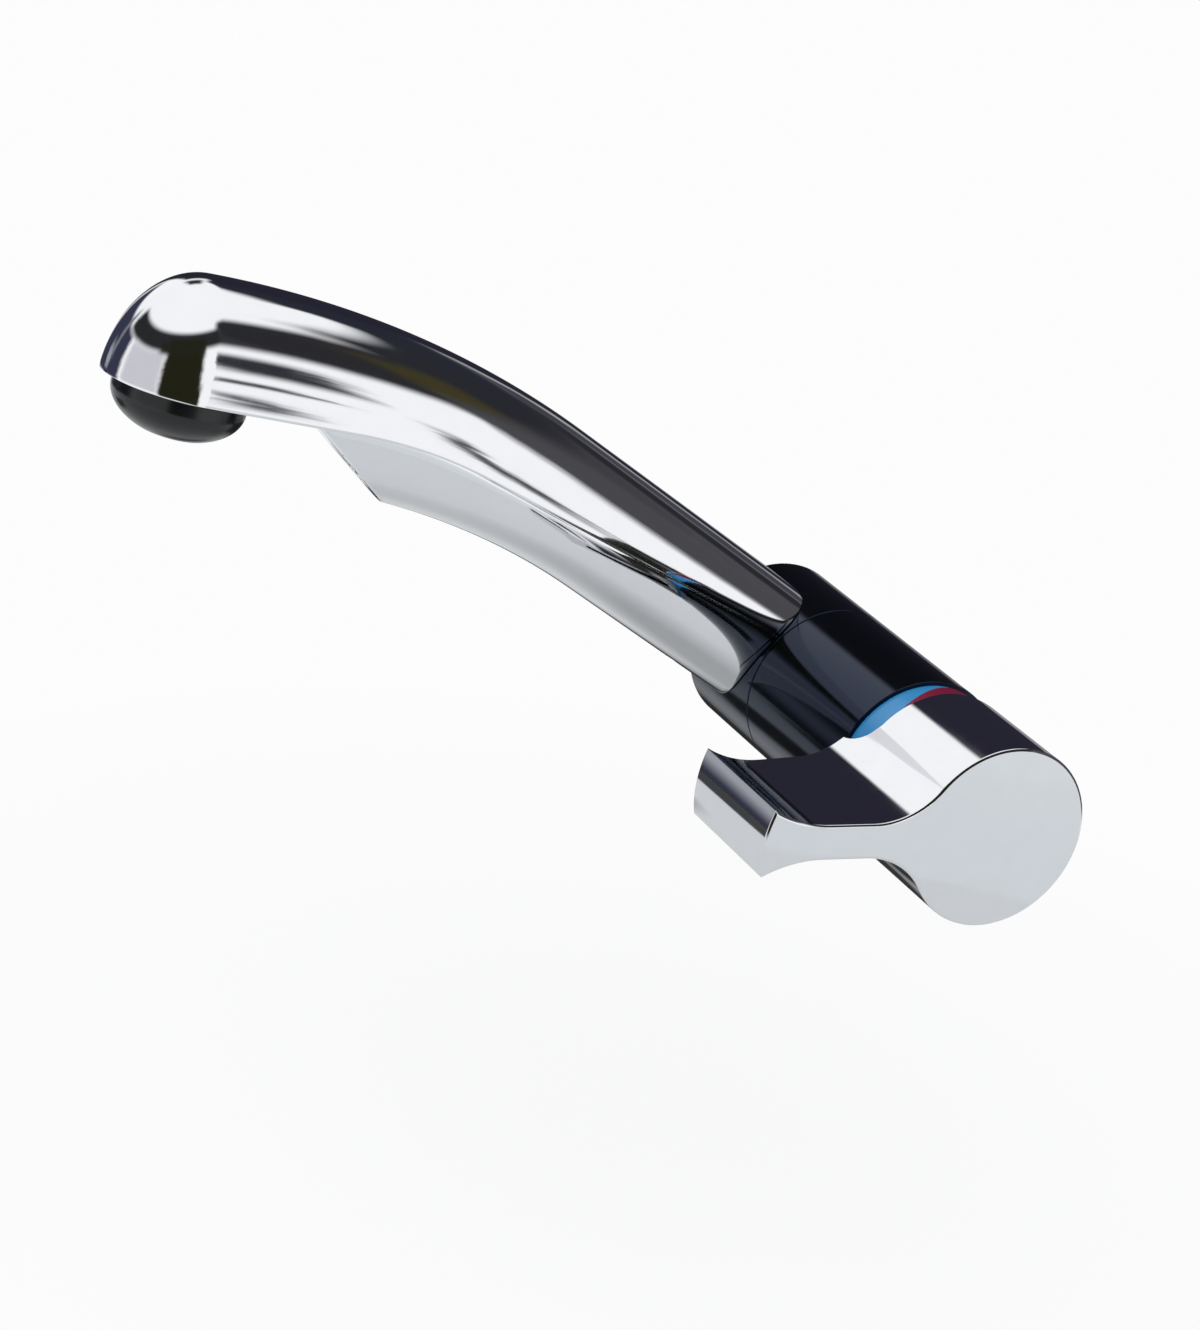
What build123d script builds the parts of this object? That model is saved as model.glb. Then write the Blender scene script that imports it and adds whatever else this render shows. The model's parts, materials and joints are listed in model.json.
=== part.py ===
from build123d import *
import math
import os

# Mixer tap with a horizontal barrel, in millimetres.
# The origin is the centre of the panel face that the gasket seats on.
# X runs along the barrel towards the handle, -Y is forward, where spout and lever point, and Z is up.

# Fits and gaps
RUNNING_FIT = 0.06
SEAT_FIT = 0.05
SWIVEL_GAP = 0.3
COVER_GAP = 0.3

# Barrel
GASKET_THICKNESS = 1.5
FLANGE_THICKNESS = 2.2
FLANGE_DIAMETER = 40.0
HUB_LENGTH = 31.9
SLEEVE_LENGTH = 44.5
SLEEVE_WALL = 1.6

# Panel clamp under the panel
PANEL_THICKNESS = 8.0
SHANK_DIAMETER = 22.0
SHANK_WALL = 1.7
SHANK_LENGTH = 46.0
WASHER_DIAMETER = 33.0
RUBBER_WASHER_THICKNESS = 1.5
STEEL_WASHER_THICKNESS = 1.2
NUT_ACROSS_FLATS = 27.0
NUT_HEIGHT = 5.5
CLIP_WIRE = 1.0
CLIP_DIAMETER = 27.0

# Swivel
SPINDLE_DIAMETER = 26.0
GLIDE_DIAMETER = 33.0
GLIDE_THICKNESS = 1.5
SEAL_SECTION = 1.5
SEAL_INSET = 6.5
GALLERY_DIAMETER = 30.0
GALLERY_WIDTH = 7.0
STOP_PIN_DIAMETER = 2.5
STOP_PIN_INSET = 3.1
STOP_PIN_REACH = 3.0
STOP_PIN_SEAT = 3.4
SWIVEL_RANGE = 60.0
COLLAR_THICKNESS = 4.0

# Inlets and water ways
TAIL_DIAMETER = 8.0
TAIL_WALL = 1.0
TAIL_OFFSET = 4.9
TAIL_SPLAY = 4.0
TAIL_SPLAY_RADIUS = 30.0
TAIL_END_LENGTH = 22.0
TAIL_SOCKET_DEPTH = 10.0
TAIL_SEAL_SECTION = 0.8
TAIL_SEAL_DEPTHS = {1: 4.0, -1: 7.0}
WATERWAY_DIAMETER = 5.2
MIXED_OFFSET = 5.6

# Ceramic cartridge, from its seat in the cup outwards
CUP_WALL = 3.1
CUP_FLOOR = 7.0
CARTRIDGE_DIAMETER = 35.0
CARTRIDGE_BODY = 19.5
CARTRIDGE_BASE = 3.0
CARTRIDGE_WALL = 2.3
FIXED_DISC_THICKNESS = 3.0
MOVING_DISC_THICKNESS = 4.0
MOVING_DISC_DIAMETER = 19.0
CARRIER_THICKNESS = 3.4
CERAMIC_GAP = 0.05
PART_GAP = 0.2
GUIDE_FLANGE_CLEARANCE = 1.7
GUIDE_FLANGE = 2.0
GUIDE_NECK_DIAMETER = 20.6
GUIDE_NECK_RISE = 2.2
HOUSING_NECK = 6.5
HOUSING_NECK_WALL = 1.4
PORT_SEAL_SECTION = 1.0
DISC_CHAMBER_EDGE = 2.9
DISC_CHAMBER_RADIUS = 8.2
NUT_THREAD_WALL = 1.5
CARTRIDGE_NUT_THREAD = 4.9
NUT_COLLAR = 7.6
NUT_COLLAR_WALL = 2.2

# Lever mechanism
PIVOT_HEIGHT = 5.2
PIVOT_PIN_DIAMETER = 3.0
PIVOT_PIN_LENGTH = 19.0
STEM_SQUARE = 7.0
STEM_REACH = 22.0
FINGER_DIAMETER = 4.0
BALL_DIAMETER = 4.8
BALL_ARM = 17.2
TILT_RANGE = 20.0

# Colour rings
RING_WALL = 2.5
RING_CLEARANCE = 0.35
RING_LENGTH = 8.6
RING_MIDDLE = 3.7
RING_WAVE = 8.0
RING_WAVE_TURN = -15.0

# Handle
HANDLE_PROUD = 0.4
HANDLE_FACE_REACH = 39.8
HANDLE_SKIRT_WALL = 1.0
HANDLE_FACE_THICKNESS = 4.0
HANDLE_CREST_GAP = 1.0
HANDLE_WAVE_DEPTH = 6.8
HANDLE_WAVE_RUN = 5.4
HANDLE_WAVE_BULGE = 1.1
HANDLE_BACK_RELIEF = 3.0
LEVER_REACH = 63.7
LEVER_THICKNESS = 8.8
LEVER_NECK_RADIUS = 20.0
LEVER_TIP_WIDTH = 16.8
LEVER_TIP_FLARE = 32.0
LEVER_TIP_BULGE = 1.3
LEVER_TIP_SETBACK = 5.0
LEVER_POCKET_WALL = 2.2
LEVER_POCKET_DEPTH = 24.0
HANDLE_BOSS_DIAMETER = 18.0
HANDLE_BOSS_RISE = 12.1
GRUB_DIAMETER = 4.0
GRUB_LENGTH = 5.0
GRUB_INSET = 5.5
PLUG_DIAMETER = 5.0
PLUG_LENGTH = 1.8

# Spout, in its side view: forward distance and height from the barrel axis
SPOUT_ANGLE = 30.0
SPOUT_HALF_DEPTH = 16.5
SPOUT_HALF_WIDTH = 15.0
NOSE_HALF_WIDTH = 16.5
TOP_BEND_START = 75.0
TOP_BEND_RADIUS = 264.0
LIP_ANGLE = 24.0
LIP_END_ANGLE = 8.0
LIP_ROOT_HEIGHT = 7.7
LIP_BEND_START = 105.0
LIP_BEND_RADIUS = 131.0
KEEL_BEND_START = 71.4
KEEL_BEND_RADIUS = 190.0
OUTLET_REACH = 178.0
NOSE_LENGTH = 19.8
SPOUT_WALL = 2.0
NOSE_EXTRA_WALL = 0.1
KEEL_SETBACK = 29.7
KEEL_END_ANGLE = 44.0
KEEL_END_HALF_WIDTH = 10.5
KEEL_TAPER_START = 55.0
SPOUT_ROOT = 7.5
SPOUT_STATION_STEP = 24.0

# Spout joint and water tube
NECK_DIAMETER = 20.0
NECK_REACH = 40.0
TUBE_DIAMETER = 11.0
TUBE_WALL = 1.2
TUBE_SEAL_SECTION = 1.5
TUBE_SEAL_REACH = 27.0
SPOUT_GRUB_REACH = 34.0
TUBE_BEND_RADIUS = 60.0
TUBE_DROP_RADIUS = 7.0
TUBE_DROP_RISE = 17.0
TUBE_END_RISE = 2.5
TUBE_ROOT_END = 67.5
TUBE_RAMP_SHARE = 0.62
TUBE_RAMP_RISE = 11.9
TUBE_SHOULDER_SETBACK = 27.2
TUBE_SHOULDER_RISE = 16.5

# Underside and outlet
UNDERPLATE_THICKNESS = 1.8
UNDERPLATE_INSET = 0.6
UNDERPLATE_CLEARANCE = 0.2
UNDERPLATE_TAPER = 0.8
UNDERPLATE_TONGUE = 24.0
KEEL_SCREW_SETBACK = 17.0
KEEL_SCREW_DIAMETER = 3.0
KEEL_SCREW_HEAD = 5.4
KEEL_SCREW_HEAD_HEIGHT = 2.0
KEEL_SCREW_BITE = 4.0
KEEL_SCREW_SEAT = 6.5
POST_DIAMETER = 8.4
SOCKET_DIAMETER = 22.0
SOCKET_FLANGE_DIAMETER = 27.0
SOCKET_FLANGE = 2.0
SOCKET_HEIGHT = 7.0
SOCKET_DROP = 4.5
DOME_DIAMETER = 31.6
DOME_SKIRT = 3.0
DOME_DEPTH = 9.4
DOME_WALL = 2.2
DOME_OPENING = 17.0
OUTLET_SEAL_SECTION = 1.2
MESH_THICKNESS = 0.8
INSERT_HEIGHT = 4.2
INSERT_HOLE = 1.7
INSERT_PITCH = 2.6

# Diameters that follow from the cartridge
CUP_RADIUS = CARTRIDGE_DIAMETER / 2 + CUP_WALL
BARREL_RADIUS = CUP_RADIUS + SWIVEL_GAP + SLEEVE_WALL
BARREL_DIAMETER = 2 * BARREL_RADIUS
HANDLE_DIAMETER = BARREL_DIAMETER + 2 * HANDLE_PROUD
RING_DIAMETER = HANDLE_DIAMETER - 2 * (HANDLE_SKIRT_WALL + RING_CLEARANCE)
NUT_COLLAR_DIAMETER = RING_DIAMETER - 2 * (RING_WALL + SEAT_FIT)
STOP_PIN_RADIUS = BARREL_RADIUS - STOP_PIN_INSET

# Places along the spout
KEEL_END = OUTLET_REACH - KEEL_SETBACK

# Places along the barrel
FLANGE_FRONT = GASKET_THICKNESS + FLANGE_THICKNESS
HUB_BACK = FLANGE_FRONT + SWIVEL_GAP
HUB_FRONT = HUB_BACK + HUB_LENGTH
SLEEVE_BACK = HUB_FRONT + SWIVEL_GAP
SLEEVE_FRONT = SLEEVE_BACK + SLEEVE_LENGTH
COLLAR_FRONT = SLEEVE_BACK + COLLAR_THICKNESS
RING_BACK = SLEEVE_FRONT + SEAT_FIT
RING_FRONT = RING_BACK + RING_LENGTH
HANDLE_FACE = SLEEVE_FRONT + HANDLE_FACE_REACH
SPINDLE_RADIUS = SPINDLE_DIAMETER / 2
SHANK_RADIUS = SHANK_DIAMETER / 2
HUB_MIDDLE = HUB_BACK + HUB_LENGTH / 2
SPOUT_X = HUB_MIDDLE

# Places in the cartridge
PIVOT = SLEEVE_FRONT + PIVOT_HEIGHT
CUP_END = SLEEVE_FRONT - SWIVEL_GAP
CARTRIDGE_TOP = CUP_END - CARTRIDGE_NUT_THREAD
CARTRIDGE_SEAT = CARTRIDGE_TOP - CARTRIDGE_BODY
CUP_BACK = CARTRIDGE_SEAT - CUP_FLOOR
FIXED_DISC_BACK = CARTRIDGE_SEAT + CARTRIDGE_BASE
MOVING_DISC_BACK = FIXED_DISC_BACK + FIXED_DISC_THICKNESS + CERAMIC_GAP
CARRIER_BACK = MOVING_DISC_BACK + MOVING_DISC_THICKNESS
GUIDE_BACK = CARRIER_BACK + CARRIER_THICKNESS + PART_GAP
GUIDE_FLANGE_FRONT = GUIDE_BACK + GUIDE_FLANGE
GUIDE_FRONT = PIVOT + GUIDE_NECK_RISE
CHAMBER_RADIUS = CARTRIDGE_DIAMETER / 2 - CARTRIDGE_WALL
GUIDE_FLANGE_RADIUS = CHAMBER_RADIUS - GUIDE_FLANGE_CLEARANCE
DISC_TRAVEL = BALL_ARM * math.sin(math.radians(TILT_RANGE))
DISC_REST = DISC_TRAVEL / 2
PORTS = ((0, TAIL_OFFSET), (0, -TAIL_OFFSET), (MIXED_OFFSET, 0))


def stud(place, radius, length):
    """A cylinder that stands on a plane or location."""
    return place * Cylinder(radius, length, align=(Align.CENTER, Align.CENTER, Align.MIN))


def rod(radius, start, end, y=0.0, z=0.0):
    """A cylinder along the barrel's direction."""
    return stud(Plane.YZ.offset(start) * Pos(y, z), radius, end - start)


def tube(outer, inner, start, end):
    return rod(outer, start, end) - rod(inner, start, end)


def seal(radius, section, x, y=0.0, z=0.0):
    """An O-ring round the barrel's direction, by its centre line's radius."""
    return Plane.YZ.offset(x) * Pos(y, z) * Torus(radius, section / 2)


def side_plane(x):
    """The side view: first coordinate forward, second up, normal away from the handle."""
    return Plane(origin=(x, 0, 0), x_dir=(0, -1, 0), z_dir=(-1, 0, 0))


def side_point(x, forward, height):
    return Vector(x, -forward, height)


def along_spout(reach):
    """The point on the spout's straight root at this distance from the barrel axis."""
    angle = math.radians(SPOUT_ANGLE)
    return reach * math.cos(angle), reach * math.sin(angle)


def spout_rod(radius, start, end):
    """A cylinder on the spout's root axis."""
    angle = math.radians(SPOUT_ANGLE)
    place = Plane(
        origin=side_point(SPOUT_X, *along_spout(start)),
        x_dir=(1, 0, 0),
        z_dir=(0, -math.cos(angle), math.sin(angle)),
    )
    return stud(place, radius, end - start)


def bent_line(forward, start, height, angle, radius, end_angle):
    """Height of a line that rises at angle to start and then bends down to end_angle on a radius."""
    slope = math.radians(angle)
    last = math.radians(end_angle)
    if forward <= start:
        return height + (forward - start) * math.tan(slope)
    turn_length = radius * (math.sin(slope) - math.sin(last))
    inside = min(forward - start, turn_length)
    heading = math.asin(math.sin(slope) - inside / radius)
    rise = radius * (math.cos(heading) - math.cos(slope))
    return height + rise + (forward - start - inside) * math.tan(last)


def top_height(forward):
    start_height = TOP_BEND_START * math.tan(math.radians(SPOUT_ANGLE))
    start_height += SPOUT_HALF_DEPTH / math.cos(math.radians(SPOUT_ANGLE))
    return bent_line(forward, TOP_BEND_START, start_height, SPOUT_ANGLE, TOP_BEND_RADIUS, 0.0)


def lip_height(forward):
    start_height = LIP_ROOT_HEIGHT + LIP_BEND_START * math.tan(math.radians(LIP_ANGLE))
    return bent_line(forward, LIP_BEND_START, start_height, LIP_ANGLE, LIP_BEND_RADIUS, LIP_END_ANGLE)


def keel_height(forward):
    start_height = KEEL_BEND_START * math.tan(math.radians(SPOUT_ANGLE))
    start_height -= SPOUT_HALF_DEPTH / math.cos(math.radians(SPOUT_ANGLE))
    return bent_line(forward, KEEL_BEND_START, start_height, SPOUT_ANGLE, KEEL_BEND_RADIUS, 0.0)


def lip_heading(forward):
    step = 0.5
    rise = lip_height(forward + step) - lip_height(forward - step)
    return math.atan2(rise, 2 * step)


def reach_to(curve, forward, height, side):
    """Distance from a lip point, square to the lip, to the top (side 1) or keel (side -1) curve."""
    heading = lip_heading(forward)
    low, high = 0.0, 60.0
    for _ in range(40):
        middle = (low + high) / 2
        at_forward = forward - side * middle * math.sin(heading)
        at_height = height + side * middle * math.cos(heading)
        beyond = side * (at_height - curve(at_forward)) > 0
        low, high = (low, middle) if beyond else (middle, high)
    return low


def section_plane(forward, drop=0.0):
    """The plane square to the lip at this forward distance, drop below it: X across, Y up."""
    heading = lip_heading(forward)
    across = Vector(1, 0, 0)
    up = Vector(0, math.sin(heading), math.cos(heading))
    origin = side_point(SPOUT_X, forward, lip_height(forward)) - up * drop
    return Plane(origin=origin, x_dir=across, z_dir=across.cross(up))


def half_oval(plane, half_width, depth, side, skirt=0.0):
    """Half an ellipse above (side 1) or below (side -1) a straight edge, or above a skirt."""
    first = 0 if side > 0 else 180
    arc = EllipticalCenterArc((0, 0), half_width, depth, start_angle=first, arc_size=180)
    if not skirt:
        return plane * make_face([arc, Line(arc @ 1, arc @ 0)])
    drop = Vector(0, -side * skirt)
    corners = [arc @ 1, arc @ 1 + drop, arc @ 0 + drop, arc @ 0]
    return plane * make_face([arc] + [Line(a, b) for a, b in zip(corners, corners[1:])])


def stations(start, end):
    count = max(3, round((end - start) / SPOUT_STATION_STEP))
    return [start + (end - start) * i / count for i in range(count + 1)]


def blend(value, start, end):
    """0 before start, 1 after end and a smooth step between."""
    share = min(1.0, max(0.0, (value - start) / (end - start)))
    return share * share * (3 - 2 * share)


def shell_half_width(forward):
    widening = blend(forward, BARREL_RADIUS, OUTLET_REACH)
    return SPOUT_HALF_WIDTH + (NOSE_HALF_WIDTH - SPOUT_HALF_WIDTH) * widening


def keel_half_width(forward):
    narrowing = blend(forward, KEEL_TAPER_START, KEEL_END)
    return SPOUT_HALF_WIDTH + (KEEL_END_HALF_WIDTH - SPOUT_HALF_WIDTH) * narrowing


def shell_body(inset=0.0, skirt=0.0, overrun=0.0):
    """The spout's upper half up to the nose, smaller by inset, carried down by skirt, longer by overrun."""
    places = stations(SPOUT_ROOT, OUTLET_REACH)
    if overrun:
        places = [places[0] - overrun] + places + [places[-1] + overrun]
    sections = []
    for forward in places:
        height = reach_to(top_height, forward, lip_height(forward), 1) - inset
        half_width = shell_half_width(forward) - inset
        sections.append(half_oval(section_plane(forward), half_width, height, 1, skirt))
    return loft(sections)


def shell_nose(inset=0.0, skirt=0.0, turn=90):
    """The quarter ellipsoid over the outlet, smaller by inset, carried down by skirt; turn 180 is a half."""
    half_width = NOSE_HALF_WIDTH - inset
    length = NOSE_LENGTH - inset
    arc = CenterArc((0, 0), 1.0, 180, 180)
    half_disc = make_face([arc, Line(arc @ 1, arc @ 0)])
    nose = scale(revolve(half_disc, Axis.X, -turn), by=(half_width, length, nose_height() - inset))
    if skirt:
        nose += extrude(Ellipse(half_width, length).face(), -skirt)
    return Location(nose_plane()) * nose


def nose_height():
    return reach_to(top_height, OUTLET_REACH, lip_height(OUTLET_REACH), 1)


def nose_plane():
    """The rim's plane at the outlet: X across, -Y forward along the rim, Z up."""
    heading = lip_heading(OUTLET_REACH)
    up = Vector(0, math.sin(heading), math.cos(heading))
    origin = side_point(SPOUT_X, OUTLET_REACH, lip_height(OUTLET_REACH))
    return Plane(origin=origin, x_dir=(1, 0, 0), z_dir=up)


def keel_form(inset=0.0, skirt=0.0):
    """The spout's lower half before its slanting end, smaller by inset and carried up by skirt."""
    sections = []
    for forward in stations(SPOUT_ROOT, KEEL_END + 2 * SPOUT_WALL):
        depth = reach_to(keel_height, forward, lip_height(forward), -1) - COVER_GAP - inset
        half_width = keel_half_width(forward) - inset
        sections.append(half_oval(section_plane(forward, COVER_GAP), half_width, depth, -1, skirt))
    return loft(sections)


def keel_cut(setback):
    """Everything in front of the keel's slanting end, moved back by setback."""
    size = 4 * SPOUT_HALF_DEPTH
    place = Plane(
        origin=side_point(SPOUT_X, KEEL_END - setback, lip_height(KEEL_END)),
        x_dir=(1, 0, 0),
        z_dir=(0, -math.cos(math.radians(KEEL_END_ANGLE)), math.sin(math.radians(KEEL_END_ANGLE))),
    )
    block = Box(size, size, 2 * size, align=(Align.CENTER, Align.MAX, Align.CENTER))
    return place * block


def panel_gasket():
    return tube(FLANGE_DIAMETER / 2, SHANK_RADIUS + SEAT_FIT, 0, GASKET_THICKNESS)


def clip_place():
    return FLANGE_FRONT - 2 * CLIP_WIRE


def wall_flange():
    ring = tube(FLANGE_DIAMETER / 2, SHANK_RADIUS + SEAT_FIT, GASKET_THICKNESS, FLANGE_FRONT)
    seat = rod(CLIP_DIAMETER / 2 + SEAT_FIT, GASKET_THICKNESS, clip_place() + CLIP_WIRE)
    return ring - seat


def retaining_clip():
    outer = CLIP_DIAMETER / 2
    ring = tube(outer, SHANK_RADIUS - CLIP_WIRE / 2, clip_place(), clip_place() + CLIP_WIRE)
    gap = Pos(clip_place(), -outer, 0) * Box(4 * CLIP_WIRE, outer, 3 * CLIP_WIRE)
    return ring - gap


def clamp_washer_rubber():
    back = -PANEL_THICKNESS - RUBBER_WASHER_THICKNESS
    return tube(WASHER_DIAMETER / 2, SHANK_RADIUS + SEAT_FIT, back, -PANEL_THICKNESS)


def clamp_washer_steel():
    front = -PANEL_THICKNESS - RUBBER_WASHER_THICKNESS
    return tube(WASHER_DIAMETER / 2, SHANK_RADIUS + SEAT_FIT, front - STEEL_WASHER_THICKNESS, front)


def shank_nut():
    front = -PANEL_THICKNESS - RUBBER_WASHER_THICKNESS - STEEL_WASHER_THICKNESS
    hexagon = RegularPolygon(NUT_ACROSS_FLATS / 2, 6, major_radius=False)
    nut = extrude(Plane.YZ.offset(front - NUT_HEIGHT) * hexagon, NUT_HEIGHT)
    corner = NUT_ACROSS_FLATS / math.sqrt(3)
    cone = Cone(corner - NUT_HEIGHT / 8, corner + NUT_HEIGHT * 7 / 8, NUT_HEIGHT)
    cone = Plane.YZ.offset(front - NUT_HEIGHT / 2) * cone
    return (nut & cone) - rod(SHANK_RADIUS + SEAT_FIT, front - NUT_HEIGHT, front)


def swivel_seal_places():
    return (HUB_BACK + SEAL_INSET, HUB_FRONT - SEAL_INSET)


def stop_pin_angle():
    return SPOUT_ANGLE + 180


def turned(angle, shape):
    """Turned about the barrel axis, by an angle from forward towards up."""
    return Rot(-angle, 0, 0) * shape


def stop_pin():
    return stop_pin_rod(HUB_FRONT - STOP_PIN_REACH)


def stop_pin_rod(start):
    pin = rod(STOP_PIN_DIAMETER / 2, start, SLEEVE_BACK + STOP_PIN_SEAT, y=-STOP_PIN_RADIUS)
    return turned(stop_pin_angle(), pin)


def valve_core():
    shank_back = -SHANK_LENGTH
    core = rod(SHANK_RADIUS, shank_back, FLANGE_FRONT)
    core += rod(SPINDLE_RADIUS, FLANGE_FRONT, CUP_BACK)
    core += rod(CUP_RADIUS, SLEEVE_BACK, COLLAR_FRONT)
    core += rod(CUP_RADIUS, CUP_BACK, CUP_END)
    core -= rod(CARTRIDGE_DIAMETER / 2 + RUNNING_FIT, CARTRIDGE_SEAT, CUP_END)
    core -= rod(CUP_RADIUS - NUT_THREAD_WALL, CARTRIDGE_TOP, CUP_END)
    core -= rod(SHANK_RADIUS - SHANK_WALL, shank_back, -TAIL_SOCKET_DEPTH / 5)
    groove_start = clip_place() - SEAT_FIT
    groove_end = clip_place() + CLIP_WIRE + SEAT_FIT
    core -= tube(SHANK_RADIUS + 1, SHANK_RADIUS - CLIP_WIRE / 2 - SEAT_FIT, groove_start, groove_end)
    for place in swivel_seal_places():
        half = SEAL_SECTION / 2 + SEAT_FIT
        core -= tube(SPINDLE_RADIUS + 1, SPINDLE_RADIUS - SEAL_SECTION, place - half, place + half)
    for place in sleeve_seal_places():
        half = SEAL_SECTION / 2 + SEAT_FIT
        core -= tube(CUP_RADIUS + 1, sleeve_seal_radius() - half, place - half, place + half)
    for side in (1, -1):
        core -= rod(TAIL_DIAMETER / 2 + SEAT_FIT, -TAIL_SOCKET_DEPTH, TAIL_SOCKET_DEPTH, z=side * TAIL_OFFSET)
        core -= rod(WATERWAY_DIAMETER / 2, TAIL_SOCKET_DEPTH, CARTRIDGE_SEAT, z=side * TAIL_OFFSET)
        half = TAIL_SEAL_SECTION / 2 + SEAT_FIT
        groove = tail_seal_radius() + half
        depth = TAIL_SEAL_DEPTHS[side]
        core -= rod(groove, depth - half, depth + half, z=side * TAIL_OFFSET)
    core -= rod(WATERWAY_DIAMETER / 2, HUB_MIDDLE, CARTRIDGE_SEAT, y=MIXED_OFFSET)
    radial = Plane(origin=(HUB_MIDDLE, MIXED_OFFSET, 0), z_dir=(0, 1, 0))
    core -= stud(radial, WATERWAY_DIAMETER / 2, SPINDLE_RADIUS)
    return core - stop_pin_rod(SLEEVE_BACK)


def glide_washer(start):
    return tube(GLIDE_DIAMETER / 2, SPINDLE_RADIUS + RUNNING_FIT, start, start + GLIDE_THICKNESS)


def swivel_seals():
    radius = SPINDLE_RADIUS - SEAL_SECTION / 2
    return [seal(radius, SEAL_SECTION, place) for place in swivel_seal_places()]


def tail_seal_radius():
    return TAIL_DIAMETER / 2 + SEAT_FIT + TAIL_SEAL_SECTION / 2


def tail_seals():
    """One seal round each tail, at different depths so that their grooves stay apart."""
    return [
        seal(tail_seal_radius(), TAIL_SEAL_SECTION, depth, z=side * TAIL_OFFSET)
        for side, depth in TAIL_SEAL_DEPTHS.items()
    ]


def tail(side):
    """A copper inlet: straight in the shank, then splayed apart so that two hoses fit."""
    inner_end = TAIL_SOCKET_DEPTH
    splay_start = -SHANK_LENGTH - TAIL_SPLAY_RADIUS / 10
    turn = math.acos(1 - TAIL_SPLAY / (2 * TAIL_SPLAY_RADIUS))
    run = TAIL_SPLAY / math.tan(turn)
    near = side * TAIL_OFFSET
    far = side * (TAIL_OFFSET + TAIL_SPLAY)
    bend = TAIL_SPLAY_RADIUS * math.tan(turn / 2)
    first = splay_start - bend
    second = first - run
    points = [
        (inner_end, 0, near),
        (first, 0, near),
        (second, 0, far),
        (second - bend - TAIL_END_LENGTH, 0, far),
    ]
    path = FilletPolyline(*points, radius=TAIL_SPLAY_RADIUS * 0.99)
    plane = Plane(origin=points[0], z_dir=(-1, 0, 0))
    ring = Circle(TAIL_DIAMETER / 2) - Circle(TAIL_DIAMETER / 2 - TAIL_WALL)
    return sweep(plane * ring, path=path)


def body_sleeve():
    return tube(BARREL_RADIUS, BARREL_RADIUS - SLEEVE_WALL, SLEEVE_BACK, SLEEVE_FRONT)


def sleeve_seal_places():
    quarter = (CUP_END - CUP_BACK) / 5
    return (CUP_BACK + quarter, CUP_END - 2 * quarter)


def sleeve_seals():
    return [seal(sleeve_seal_radius(), SEAL_SECTION, place) for place in sleeve_seal_places()]


def sleeve_seal_radius():
    return CUP_RADIUS + SWIVEL_GAP - SEAL_SECTION / 2 - SEAT_FIT


def index_ring(side):
    """The blue (side -1) or the red (side 1) ring: a tube cut on a slant, so its edge is a wave."""
    ring = tube(RING_DIAMETER / 2, NUT_COLLAR_DIAMETER / 2 + SEAT_FIT, RING_BACK, RING_FRONT)
    lean = math.atan2(RING_WAVE, RING_DIAMETER / 2)
    turn = math.radians(RING_WAVE_TURN)
    normal = Vector(
        math.cos(lean),
        math.sin(lean) * math.cos(turn),
        -math.sin(lean) * math.sin(turn),
    )
    cut = Plane(origin=(SLEEVE_FRONT + RING_MIDDLE, 0, 0), z_dir=normal * side)
    size = 2 * BARREL_DIAMETER
    return ring & cut * Pos(0, 0, size / 2) * Box(size, size, size)


def cartridge_base():
    base = rod(CHAMBER_RADIUS, CARTRIDGE_SEAT, FIXED_DISC_BACK)
    for y, z in PORTS:
        base -= rod(WATERWAY_DIAMETER / 2, CARTRIDGE_SEAT, FIXED_DISC_BACK, y, z)
        seat = port_seal_radius() + PORT_SEAL_SECTION / 2 + SEAT_FIT
        base -= rod(seat, CARTRIDGE_SEAT, CARTRIDGE_SEAT + PORT_SEAL_SECTION, y, z)
    return base


def port_seal_radius():
    return WATERWAY_DIAMETER / 2 + PORT_SEAL_SECTION / 2


def port_seals():
    place = CARTRIDGE_SEAT + PORT_SEAL_SECTION / 2
    return [seal(port_seal_radius(), PORT_SEAL_SECTION, place, y, z) for y, z in PORTS]


def fixed_disc():
    disc = rod(CHAMBER_RADIUS, FIXED_DISC_BACK, FIXED_DISC_BACK + FIXED_DISC_THICKNESS)
    for y, z in PORTS:
        disc -= rod(WATERWAY_DIAMETER / 2, FIXED_DISC_BACK, FIXED_DISC_BACK + FIXED_DISC_THICKNESS, y, z)
    return disc


def moving_disc():
    """Its chamber joins the inlets to the mixed-water port once the lever has slid it over them."""
    disc = rod(MOVING_DISC_DIAMETER / 2, MOVING_DISC_BACK, CARRIER_BACK, y=DISC_REST)
    chamber_end = MOVING_DISC_BACK + MOVING_DISC_THICKNESS / 2
    chamber = rod(DISC_CHAMBER_RADIUS, MOVING_DISC_BACK, chamber_end, y=DISC_REST)
    size = 2 * MOVING_DISC_DIAMETER
    return disc - (chamber & Pos(MOVING_DISC_BACK, DISC_CHAMBER_EDGE + size / 2, 0) * Box(size, size, size))


def disc_carrier():
    front = CARRIER_BACK + CARRIER_THICKNESS
    carrier = rod(MOVING_DISC_DIAMETER / 2, CARRIER_BACK, front, y=DISC_REST)
    return carrier - rod(BALL_DIAMETER / 2 + PART_GAP, CARRIER_BACK + PART_GAP, front)


def cartridge_housing():
    outer = CARTRIDGE_DIAMETER / 2
    housing = rod(outer, CARTRIDGE_SEAT, CARTRIDGE_TOP)
    neck = GUIDE_NECK_DIAMETER / 2 + RUNNING_FIT
    housing += rod(neck + HOUSING_NECK_WALL, CARTRIDGE_TOP, CARTRIDGE_TOP + HOUSING_NECK)
    housing -= rod(CHAMBER_RADIUS + SEAT_FIT, CARTRIDGE_SEAT, GUIDE_FLANGE_FRONT + PART_GAP)
    return housing - rod(neck, CARTRIDGE_SEAT, CARTRIDGE_TOP + HOUSING_NECK)


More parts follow.
